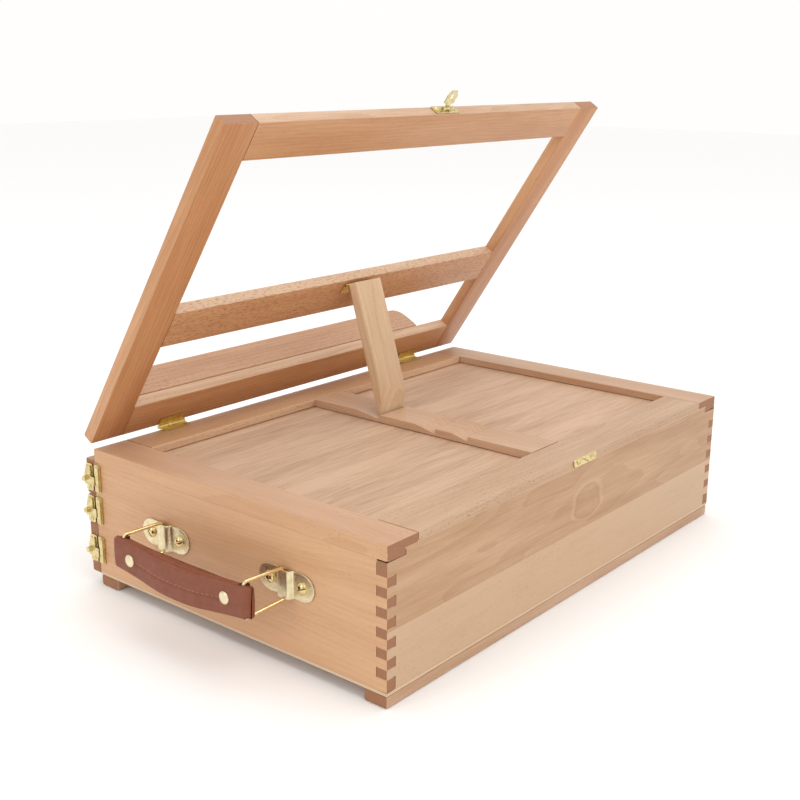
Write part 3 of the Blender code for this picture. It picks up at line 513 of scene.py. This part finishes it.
# ---------------------------------------------------------------- prop leg, at its full length
leg_joint = joints["prop_leg_fold"]
ratio = frame["record"]["behaviour"]["couplings"][0]["ratio"]
leg_space = (
    Matrix.Translation(Vector(leg_joint["pos_m"]))
    @ Matrix.Rotation(tilt + ratio * tilt, 4, "X")
)
leg_low, leg_high = local_box("prop_leg", leg_space)
LEG_HEAD = -0.0008  # past the hinge pin
LEG_REACH = 0.1057  # from the hinge pin to the toe
LEG_TOE = 0.0029
LEG_BEVEL = 0.0202
outline = [
    (LEG_HEAD, leg_low.z),
    (LEG_REACH, leg_low.z),
    (LEG_REACH, leg_low.z + LEG_TOE),
    (LEG_REACH - LEG_BEVEL, leg_high.z),
    (LEG_HEAD, leg_high.z),
]
finish_mesh(
    "leg",
    mesh_from(soften(prism(outline, leg_low.x, leg_high.x), STILE_ROUND), "leg"),
    beech("beech_leg", "Y", 21, *LEG, fleck=0.2, ring=0.5, ring_size=4.5),
    "prop_leg",
    leg_space,
    ("prop_leg",),
)

# ---------------------------------------------------------------- carried-over wood
LESS_STREAK = {"streak": 0.75}
NO_ENDS = {"ends": False}
carried = {
    "foot_front": ("X", 31, PLAIN, 0.3, LESS_STREAK),
    "foot_rear": ("X", 33, PLAIN, 0.3, LESS_STREAK),
    # The handle-side wall's colour is partly painted light and shade on that side
    "wall_handle_side": ("Y", 35, HANDLE_SIDE_WOOD_AND_SHADE, 0.2, LESS_STREAK),
    "wall_far_side": ("Y", 36, PLAIN, 0.3, LESS_STREAK),
    "wall_rear": (
        "X", 37, REAR_WALL, 0.25,
        {"streak": 0.8, "glued": box_top - 0.055, "knot": (middle_x - 0.011, box_top - 0.0365)},
    ),
    # The lid stile's top and sides get different colours: painted sheen on top, painted shade on the side
    "lid_stile_handle_side": ("Y", 41, LID_STILE_TOP_SHEEN, 0.35, {**LESS_STREAK, "painted_face_light": (AXES["X"], *HANDLE_SIDE_WOOD_AND_SHADE)}),
    "lid_stile_far_side": ("Y", 42, PLAIN, 0.4, LESS_STREAK),
    "lid_rail_rear": ("X", 43, LID_REAR, 0.9, LESS_STREAK),
    # The lid front rail's faces turned along Y are painted paler, as lit faces
    "lid_rail_front": ("X", 44, LID_FRONT, 0.5, {**LESS_STREAK, "painted_face_light": (AXES["Y"], *LID_FRONT_INNER_FACE_LIT)}),
    "ratchet_rail": ("Y", 45, PLAIN, 0.3, LESS_STREAK),
    "canvas_ledge": ("X", 61, LEDGE, 0.7, LESS_STREAK),
}
for number in (1, 2, 3):
    carried[f"drawer_{number}_front"] = ("X", 50 + number, PLAIN, 0.4, LESS_STREAK)
    carried[f"drawer_{number}_tray"] = ("X", 53 + number, PLAIN, 0.2, NO_ENDS)
for name, (grain, seed, colours, fleck, extra) in carried.items():
    nodes[name].data.materials.clear()
    nodes[name].data.materials.append(beech(f"beech_{name}", grain, seed, *colours, fleck=fleck, **extra))

plywood = ["bottom_board", "lid_panel", "drawer_divider_1", "drawer_divider_2"]
plywood += [f"drawer_{number}_bottom" for number in (1, 2, 3)]
for count, name in enumerate(plywood):
    nodes[name].data.materials.clear()
    nodes[name].data.materials.append(
        beech(
            f"plywood_{name}", "X", 71 + count, *PLYWOOD, PLY_END, fleck=0.2, ring=0.25, ring_size=9.0,
            streak=1.6, roughness=0.55, plies=True,
        )
    )

for name, cad_node in nodes.items():
    if cad_node.hide_render or name in carried or name in plywood:
        continue
    metal = brass_plate
    if name.startswith(("hinge_", "prop_hinge")):
        metal = brass_hinge
    if name.startswith(("latch_", "hasp")):
        metal = brass_latch
    cad_node.data.materials.clear()
    cad_node.data.materials.append(metal)

# ---------------------------------------------------------------- fillers in the glued joints
lid_low = low_lid.z
rail_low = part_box("lid_rail_rear")[0].z
wall_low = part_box("wall_rear")[0].z
SHY = 0.00006  # how far a filler stays behind the face
FILLER_DEPTH = 0.006
seams = bmesh.new()


def add_block(made, low, high):
    """Adds a plain box to a bmesh."""
    xs, ys, zs = zip(low, high)
    corners = [made.verts.new((x, y, z)) for x in xs for y in ys for z in zs]
    for face in ((0, 1, 3, 2), (4, 6, 7, 5), (0, 4, 5, 1), (2, 3, 7, 6), (0, 2, 6, 4), (1, 5, 7, 3)):
        made.faces.new([corners[i] for i in face])


seam_rear = rear_y - SHY
for side_x, inward in ((handle_wall_x, -1), (far_wall_x, 1)):
    near, far = sorted((side_x + inward * SHY, side_x + inward * FILLER_DEPTH))
    add_block(seams, (near, rear_y - 0.0078, wall_low + 0.0003), (far, seam_rear, lid_low + 0.001))
    add_block(seams, (near, front_y + 0.0035, lid_low - 0.002), (far, seam_rear, lid_low + 0.002))
    add_block(seams, (near, front_y + 0.0012, wall_low - 0.001), (far, seam_rear, wall_low + 0.001))
for seam_z in (rail_low, wall_low):
    add_block(
        seams,
        (far_wall_x + SHY, rear_y - FILLER_DEPTH, seam_z - 0.001),
        (handle_wall_x - SHY, seam_rear, seam_z + 0.001),
    )
finish_mesh(
    "joint_glue",
    mesh_from(seams, "joint_glue"),
    beech("beech_joints", "X", 91, *SEAM, fleck=0.1, ends=False),
    "case",
)


# ---------------------------------------------------------------- screws
def turned(profile, segments=24):
    """A bmesh turned about Z from (radius, height) points, the first and last on the axis."""
    made = bmesh.new()
    first = made.verts.new((0, 0, profile[0][1]))
    last = made.verts.new((0, 0, profile[-1][1]))
    rings = []
    for radius, height in profile[1:-1]:
        rings.append(
            [
                made.verts.new(
                    (
                        radius * math.cos(2 * math.pi * i / segments),
                        radius * math.sin(2 * math.pi * i / segments),
                        height,
                    )
                )
                for i in range(segments)
            ]
        )
    for i in range(segments):
        j = (i + 1) % segments
        made.faces.new((first, rings[0][i], rings[0][j]))
        made.faces.new((last, rings[-1][j], rings[-1][i]))
        for lower, upper in zip(rings, rings[1:]):
            made.faces.new((lower[i], upper[i], upper[j], lower[j]))
    bmesh.ops.recalc_face_normals(made, faces=made.faces)
    return made


# Shares of a screw head's radius, and the angles of the points over its dome
SCREW_SUNK = 0.25
SLOT_HALF = 0.09
DOME_ANGLES = (0.12, 0.25, 0.4, 0.55, 0.7, 0.85, 1.0, 1.15, 1.3, 1.43)


def screw_mesh(name, dome):
    """A slotted screw head of radius 1, its rim at height 0."""
    whole = bpy.data.meshes.new(name)
    joined = bmesh.new()
    for side in (-1, 1):
        half = turned(
            [(0, -SCREW_SUNK), (1.0, -SCREW_SUNK), (1.0, 0.0)]
            + [(math.cos(angle), dome * math.sin(angle)) for angle in DOME_ANGLES]
            + [(0, dome)]
        )
        cut = bmesh.ops.bisect_plane(
            half,
            geom=half.verts[:] + half.edges[:] + half.faces[:],
            plane_co=(side * SLOT_HALF, 0, 0),
            plane_no=(-side, 0, 0),
            clear_outer=True,
        )
        bmesh.ops.edgeloop_fill(half, edges=[g for g in cut["geom_cut"] if isinstance(g, bmesh.types.BMEdge)])
        half.to_mesh(whole)
        half.free()
        joined.from_mesh(whole)
    floor_of_slot = turned([(0, -SCREW_SUNK), (0.97, -SCREW_SUNK), (0.97, dome * 0.3), (0, dome * 0.42)])
    floor_of_slot.to_mesh(whole)
    floor_of_slot.free()
    joined.from_mesh(whole)
    joined.to_mesh(whole)
    joined.free()
    return whole


round_head = screw_mesh("round_head", 0.62)
flat_head = screw_mesh("flat_head", 0.2)


def put_screws(name, body, shape, radius, places):
    """Copies of one screw in a single piece. Each place is a point and the direction the head faces."""
    joined = bmesh.new()
    for count, (point, facing) in enumerate(places):
        copy = shape.copy()
        turn = Vector(facing).to_track_quat("Z", "Y").to_matrix().to_4x4()
        copy.transform(
            Matrix.Translation(Vector(point))
            @ turn
            @ Matrix.Rotation(0.6 + 1.3 * count, 4, "Z")
            @ Matrix.Scale(radius, 4)
        )
        joined.from_mesh(copy)
        bpy.data.meshes.remove(copy)
    return finish_mesh(name, mesh_from(joined, name), brass_screw_painted_shade, body, smooth=50.0)


LEAF_SCREW = 0.0015
LEAF_SCREWS = (-0.0088, 0.0088)
PROP_SCREW = 0.0013
HASP_SCREW = 0.0021
LATCH_SCREW = 0.0014
BRACKET_SCREW = 0.0043
PLATE = 0.0011  # from the wood to where a screw head's rim sits
leaf_face = local_box("frame_stile_handle_side", frame_space)[0].z - PLATE
out_of_frame = frame_space.to_3x3() @ Vector((0, 0, -1))
up_the_frame = frame_space.to_3x3() @ Vector((0, 1, 0))

for side in ("handle_side", "far_side"):
    low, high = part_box(f"hinge_{side}_lid_leaf")
    middle = (low.x + high.x) / 2
    put_screws(
        f"hinge_{side}_lid_screws",
        "case",
        flat_head,
        LEAF_SCREW,
        [((middle + dx, high.y - 0.0032, box_top + 0.0010), (0, 0, 1)) for dx in LEAF_SCREWS],
    )
    low, high = local_box(f"hinge_{side}_frame_leaf", frame_space)
    places = [
        (frame_space @ Vector((middle - hinge_axis.x + dx, high.y - 0.0032, leaf_face)), out_of_frame)
        for dx in LEAF_SCREWS
    ]
    put_screws(f"hinge_{side}_frame_screws", "easel_frame", flat_head, LEAF_SCREW, places)

low, high = local_box("prop_hinge_frame_leaf", frame_space)
places = []
for x in (low.x + 0.0024, high.x - 0.0024):
    for y in (low.y + 0.0022, low.y + 0.0062):
        places.append((frame_space @ Vector((x, y, leaf_face)), out_of_frame))
put_screws("prop_hinge_screws", "easel_frame", flat_head, PROP_SCREW, places)

low, high = local_box("hasp_base", frame_space)
middle = (low.x + high.x) / 2
places = [
    (frame_space @ Vector((middle + dx, low.y + 0.0008, (low.z + high.z) / 2 + 0.0004)), up_the_frame)
    for dx in (-0.0096, 0.0096)
]
put_screws("hasp_screws", "easel_frame", round_head, HASP_SCREW, places)

low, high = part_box("hasp_catch")
catch_face = rear_y + PLATE
middle = (low.x + high.x) / 2
middle_z = (low.z + high.z) / 2
places = [((middle + dx, catch_face, middle_z), (0, 1, 0)) for dx in (-0.0092, 0.0092)]
put_screws("catch_screws", "case", round_head, HASP_SCREW, places)

for count in (1, 2, 3):
    for part, body in (("plate", f"drawer_{count}"), ("keeper", "case")):
        low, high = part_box(f"latch_{count}_{part}")
        y = (low.y + high.y) / 2 if part == "plate" else high.y - 0.0018
        places = [((handle_wall_x + PLATE, y, z), (1, 0, 0)) for z in (low.z + 0.0021, high.z - 0.0021)]
        put_screws(f"latch_{count}_{part}_screws", body, round_head, LATCH_SCREW, places)

# ---------------------------------------------------------------- carrying handle
BRACKET_HALF = 0.024
BRACKET_STRAIGHT = 0.0125
BRACKET_HALF_HIGH = 0.0095
BRACKET_SHEET = 0.0009
BRACKET_SHARES = [-1, -0.985, -0.95, -0.89, -0.81, -0.7, -0.55, -0.42, -0.30, -0.265, -0.235, -0.21, -0.19]
BRACKET_SHARES += [-0.165, -0.14, -0.07, 0.0]
CHANNEL_HALF = 0.0062
CHANNEL_SLOPE = 0.0024
CHANNEL_RISE = 0.0034
bracket_face = handle_wall_x + 0.0003
axes = [joints[f"handle_{side}_swing"]["pos_m"] for side in ("front", "rear")]
handle_z = axes[0][2]


def eased(share):
    """A share held to 0 to 1, with a smooth start and end."""
    share = min(1.0, max(0.0, share))
    return share * share * (3 - 2 * share)


def pressed_bracket(name, centre_y):
    """A plate with rounded ends and a raised channel across its middle, in pressed sheet."""
    rows = 8
    line = []
    for share in BRACKET_SHARES + [-share for share in reversed(BRACKET_SHARES[:-1])]:
        u = share * BRACKET_HALF
        line.append((u, CHANNEL_RISE * eased((CHANNEL_HALF - abs(u)) / CHANNEL_SLOPE)))
    made = bmesh.new()
    front, back = [], []
    for i, (u, offset) in enumerate(line):
        before, after = line[max(i - 1, 0)], line[min(i + 1, len(line) - 1)]
        along = Vector((after[0] - before[0], after[1] - before[1])).normalized()
        normal = Vector((-along.y, along.x))
        past = max(0.0, (abs(u) - BRACKET_STRAIGHT) / (BRACKET_HALF - BRACKET_STRAIGHT))
        high = BRACKET_HALF_HIGH * max(0.06, (1 - past**2.3)) ** 0.5
        high -= 0.0006 * math.exp(-(((abs(u) - 0.0085) / 0.002) ** 2))
        for store, lift in ((front, BRACKET_SHEET), (back, 0.0)):
            row = []
            for j in range(rows + 1):
                v = 2 * j / rows - 1
                row.append(
                    made.verts.new(
                        (
                            bracket_face + offset + normal.y * lift,
                            centre_y + u + normal.x * lift,
                            handle_z + v * high,
                        )
                    )
                )
            store.append(row)
    for sheet_rows in (front, back):
        for a, b in zip(sheet_rows, sheet_rows[1:]):
            for j in range(rows):
                made.faces.new((a[j], a[j + 1], b[j + 1], b[j]))
    for a, b, c, d in zip(front, front[1:], back, back[1:]):
        made.faces.new((a[0], b[0], d[0], c[0]))
        made.faces.new((a[-1], c[-1], d[-1], b[-1]))
    for j in range(rows):
        made.faces.new((front[0][j], back[0][j], back[0][j + 1], front[0][j + 1]))
        made.faces.new((front[-1][j], front[-1][j + 1], back[-1][j + 1], back[-1][j]))
    bmesh.ops.recalc_face_normals(made, faces=made.faces)
    soften(made, 0.0002, 2, angle=50.0)
    return mesh_from(made, name)


def swept_wire(name, points, radius, corner):
    """A closed tube along straight runs joined by rounded corners."""
    around = 14
    path = []
    count = len(points)
    for i, point in enumerate(points):
        point = Vector(point)
        before = (Vector(points[i - 1]) - point).normalized()
        after = (Vector(points[(i + 1) % count]) - point).normalized()
        start, end = point + before * corner, point + after * corner
        for k in range(7):
            t = k / 6
            path.append(start * (1 - t) ** 2 + point * 2 * t * (1 - t) + end * t**2)
    made = bmesh.new()
    rings = []
    side = Vector((0, 1, 0))
    for i, point in enumerate(path):
        along = (path[(i + 1) % len(path)] - path[i - 1]).normalized()
        across = (side - along * side.dot(along)).normalized()
        other = along.cross(across)
        rings.append(
            [
                made.verts.new(
                    point
                    + across * radius * math.cos(2 * math.pi * j / around)
                    + other * radius * math.sin(2 * math.pi * j / around)
                )
                for j in range(around)
            ]
        )
    for i, ring in enumerate(rings):
        following = rings[(i + 1) % len(rings)]
        for j in range(around):
            k = (j + 1) % around
            made.faces.new((ring[j], ring[k], following[k], following[j]))
    bmesh.ops.recalc_face_normals(made, faces=made.faces)
    return mesh_from(made, name)


WIRE = 0.0012
WIRE_CORNER = 0.0026
REACH = 0.0290
SWING = math.radians(-13.0)
DROP = 0.0039  # the grip's end below the middle of the bracket
BRACKET_END_HALF = 0.0108
GRIP_END_HALF = 0.0123
for side, axis in zip(("front", "rear"), axes):
    axis = Vector(axis)
    finish_mesh(
        f"bracket_{side}",
        pressed_bracket(f"bracket_{side}", axis.y),
        brass_plate,
        "case",
        replaces=(f"handle_bracket_{side}",),
        smooth=55.0,
    )
    places = [((bracket_face + 0.0010, axis.y + dy, handle_z), (1, 0, 0)) for dy in (-0.0142, 0.0142)]
    put_screws(f"bracket_{side}_screws", "case", round_head, BRACKET_SCREW, places)
    reach = Vector((math.cos(SWING), math.sin(SWING), 0)) * REACH
    corners = [
        axis + Vector((0, 0, -BRACKET_END_HALF)),
        axis + reach + Vector((0, 0, -DROP - GRIP_END_HALF)),
        axis + reach + Vector((0, 0, -DROP + GRIP_END_HALF)),
        axis + Vector((0, 0, BRACKET_END_HALF)),
    ]
    finish_mesh(
        f"wire_loop_{side}",
        swept_wire(f"wire_loop_{side}", corners, WIRE, WIRE_CORNER),
        brass_wire,
        f"handle_{side}_loop",
        replaces=(f"handle_loop_{side}",),
        smooth=60.0,
    )

grip_low, grip_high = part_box("handle_grip")
grip_x = (grip_low.x + grip_high.x) / 2
grip_low.y -= 0.0022
grip_high.y += 0.0014
grip_length = grip_high.y - grip_low.y
END_HALF = 0.0109
END_ROUND = 0.0048


def grip_at(y):
    """The grip's middle height, half height and half thickness at this place along it."""
    share = min(1.0, max(0.0, (y - grip_low.y) / grip_length))
    bow = math.sin(math.pi * share)
    middle = handle_z - DROP - 0.0046 * bow**1.2
    half = END_HALF + 0.0014 * bow**1.5
    padding = eased((0.5 - abs(share - 0.5) - 0.17) / 0.24)
    return middle, half, 0.0044 + 0.0017 * padding, padding


def grip_profile(half_wide, half_high, bulge, stitched):
    """Half-way round to half-way round: a rounded section with seam lines and a pressed stitch line."""
    corner = 0.0017
    layer = 0.0021
    straight = half_high - corner
    points = []
    for side in (1, -1):
        face = []
        for mark in (-1, -0.75, -0.5, -0.25, -0.09, -0.045, 0.0, 0.045, 0.09, 0.25, 0.5, 0.75, 1):
            x = half_wide + bulge * (1 - mark * mark)
            if abs(mark) < 0.05:
                x -= stitched * (0.00045 if mark == 0.0 else 0.0003)
            face.append((x, mark * straight))
        for k in range(1, 5):
            a = math.pi / 2 * k / 4
            face.append((half_wide - corner + corner * math.cos(a), straight + corner * math.sin(a)))
        seam = half_wide - corner - layer + 0.0008
        for dx, depth in ((0.0003, 0.0), (0.0, 0.00045), (-0.0003, 0.0)):
            face.append((seam + dx, half_high - depth))
        face.append((seam * 0.45, half_high + 0.25 * bulge))
        points += [(side * x, side * z) for x, z in face]
    return points


stations = [END_ROUND * (1 - math.cos(math.pi / 2 * k / 8)) for k in range(9)]
stations += [END_ROUND + (grip_length - 2 * END_ROUND) * k / 44 for k in range(1, 44)]
stations += [grip_length - station for station in reversed(stations[:9])]
rings = []
made = bmesh.new()
for station in stations:
    y = grip_low.y + station
    middle, half, wide, padding = grip_at(y)
    from_end = min(station, grip_length - station)
    closing = max(0.0, 1 - from_end / END_ROUND)
    wide *= max(0.12, 1 - closing**2.8) ** (1 / 2.8)
    half -= 0.0010 * closing**2
    in_line = 1.0 if 0.0235 < station < grip_length - 0.0235 else 0.0
    ring = grip_profile(wide, half, 0.0003 + 0.0005 * padding, in_line)
    rings.append([made.verts.new((grip_x + x, y, middle + z)) for x, z in ring])
for a, b in zip(rings, rings[1:]):
    for i in range(len(a)):
        j = (i + 1) % len(a)
        made.faces.new((a[i], a[j], b[j], b[i]))
made.faces.new(rings[0])
made.faces.new(list(reversed(rings[-1])))
bmesh.ops.recalc_face_normals(made, faces=made.faces)
grip_shape = finish_mesh(
    "grip",
    mesh_from(made, "grip"),
    hide,
    "handle_grip",
    replaces=("handle_grip",),
    smooth=70.0,
)

# Painted shade: dark blocks in the leather's ends where the wire goes in, for the shadowed holes round it
wire_hole_shade = bmesh.new()
for end_y in (grip_low.y + 0.0074, grip_high.y - 0.0066):
    middle, half, wide, _ = grip_at(end_y)
    for up in (-1, 1):
        z = middle + up * (half - 0.0006)
        add_block(
            wire_hole_shade,
            (grip_x - wide * 0.92, end_y - 0.0035, z - 0.0008),
            (grip_x + 0.0012, end_y + 0.0014, z + 0.00066),
        )
# A near-black colour: painted shade inside the holes
dark = leather("painted_shade_wire_holes", (0.055, 0.018, 0.010), (0.03, 0.01, 0.006))
bmesh.ops.recalc_face_normals(wire_hole_shade, faces=wire_hole_shade.faces)
finish_mesh("grip_wire_holes_painted_shade", mesh_from(wire_hole_shade, "grip_wire_holes_painted_shade"), dark, "handle_grip")

# Waxed thread along both faces
stitches = bmesh.new()
STITCH_PITCH = 0.0041
STITCH = [(0, -0.00135), (0.00028, -0.00122), (0.0004, -0.0009)]
STITCH += [(radius, -height) for radius, height in reversed(STITCH)]
capsule_mesh = mesh_from(turned(STITCH, 8), "capsule")
count = int((grip_length - 0.050) / STITCH_PITCH)
for i in range(count + 1):
    y = grip_low.y + grip_length / 2 + (i - count / 2) * STITCH_PITCH
    middle, _, wide, padding = grip_at(y)
    slope = (grip_at(y + 0.001)[0] - grip_at(y - 0.001)[0]) / 0.002
    middle += 0.0009
    for side in (1, -1):
        copy = capsule_mesh.copy()
        x = grip_x + side * (wide + 0.0003 + 0.0005 * padding - 0.0002)
        copy.transform(
            Matrix.Translation((x, y, middle))
            @ Matrix.Rotation(math.atan(slope), 4, "X")
            @ Matrix.Rotation(math.radians(-90), 4, "X")
        )
        stitches.from_mesh(copy)
        bpy.data.meshes.remove(copy)
finish_mesh("grip_stitches", mesh_from(stitches, "grip_stitches"), thread, "handle_grip")

RIVET = [(0, -0.0008), (0.0041, -0.0008), (0.0043, 0.0003), (0.0041, 0.0006), (0.0030, 0.0010)]
RIVET += [(0.0015, 0.0012), (0, 0.00125)]
for side, station, lift in (("front", 0.0185, 0.0), ("rear", grip_length - 0.0195, 0.0016)):
    y = grip_low.y + station
    middle, _, wide, _ = grip_at(y)
    disc = bmesh.new()
    for facing in (1, -1):
        copy = mesh_from(turned(RIVET, 32), "head")
        copy.transform(
            Matrix.Translation((grip_x + facing * (wide + 0.0003), y, middle + lift))
            @ Matrix.Rotation(math.radians(90 * facing), 4, "Y")
        )
        disc.from_mesh(copy)
        bpy.data.meshes.remove(copy)
    finish_mesh(
        f"rivet_{side}",
        mesh_from(disc, f"rivet_{side}"),
        brass_rivet,
        "handle_grip",
        replaces=(f"handle_rivet_{side}",),
        smooth=50.0,
    )

# ---------------------------------------------------------------- floor, light and camera
def flat_sheet(name, half, material):
    """A square that is part of the stage and not of the object."""
    shape = bmesh.new()
    bmesh.ops.create_grid(shape, x_segments=1, y_segments=1, size=half)
    made = bpy.data.objects.new(name, mesh_from(shape, name))
    made.data.materials.append(material)
    bpy.context.scene.collection.objects.link(made)
    made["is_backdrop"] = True
    return made


paper = Nodes("pale_floor")
paper.plain((0.97, 0.97, 0.97), 0.9)
paper.shader.inputs["Specular IOR Level"].default_value = 0.1
flat_sheet("floor", 6.0, paper.material).location = (0, 0, -0.0002)

world = bpy.data.worlds.new("studio")
bpy.context.scene.world = world
world.use_nodes = True
world.node_tree.nodes["Background"].inputs["Color"].default_value = (1.0, 0.992, 0.98, 1)
world.node_tree.nodes["Background"].inputs["Strength"].default_value = 1.0


def area_light(name, place, target, size, power, colour=(1, 1, 1)):
    """A rectangular light that faces a target."""
    light = bpy.data.lights.new(name, "AREA")
    light.shape = "RECTANGLE"
    light.size, light.size_y = size
    light.energy = power
    light.color = colour
    made = bpy.data.objects.new(name, light)
    bpy.context.scene.collection.objects.link(made)
    made.location = place
    made.rotation_euler = (Vector(target) - Vector(place)).to_track_quat("-Z", "Y").to_euler()


centre = Vector((middle_x, middle_y, 0.10))
area_light("key", centre + Vector((0.35, 1.15, 1.6)), centre, (0.9, 0.8), 6.5, (1.0, 0.97, 0.93))
area_light("top", centre + Vector((-0.2, -0.2, 1.8)), centre, (1.5, 1.2), 6)
area_light("handle_side", centre + Vector((1.7, -0.35, 0.75)), centre, (0.5, 0.7), 3.2, (1.0, 0.95, 0.88))

# Dark cards beyond the camera's view, for the brass to reflect
card_black = Nodes("card_black")
card_black.plain((0.02, 0.02, 0.02), 0.9)
cards = (((1.9, 0.55, 0.45), 0.35, 1.1), ((1.7, -1.3, 0.4), 0.5, 1.2), ((0.2, 2.2, 0.35), 0.5, 1.0))
for count, (place, width, height) in enumerate(cards):
    at = centre + Vector(place)
    aimed = (centre - at).to_track_quat("Z", "Y").to_matrix().to_4x4()
    card = flat_sheet(f"card_{count}", 0.5, card_black.material)
    card.matrix_world = Matrix.Translation(at) @ aimed @ Matrix.Diagonal((width, height, 1, 1))

lens_place = Vector((middle_x, middle_y, box_top)) + Vector((0.69697, 0.54526, 0.26609))
camera = bpy.data.objects.new("camera", bpy.data.cameras.new("camera"))
bpy.context.scene.collection.objects.link(camera)
camera.data.sensor_width = 36.0
camera.data.lens = 53.614
camera.data.clip_start = 0.01
azimuth = math.radians(129.5024)
elevation = math.radians(-15.7777)
forward = Vector(
    (
        -math.sin(azimuth) * math.cos(elevation),
        math.cos(azimuth) * math.cos(elevation),
        math.sin(elevation),
    )
)
aim = forward.to_track_quat("-Z", "Y").to_matrix().to_4x4()
camera.matrix_world = Matrix.Translation(lens_place) @ aim @ Matrix.Rotation(math.radians(0.4184), 4, "Z")
bpy.context.scene.camera = camera
bpy.context.scene.view_settings.view_transform = "Standard"

low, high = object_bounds()
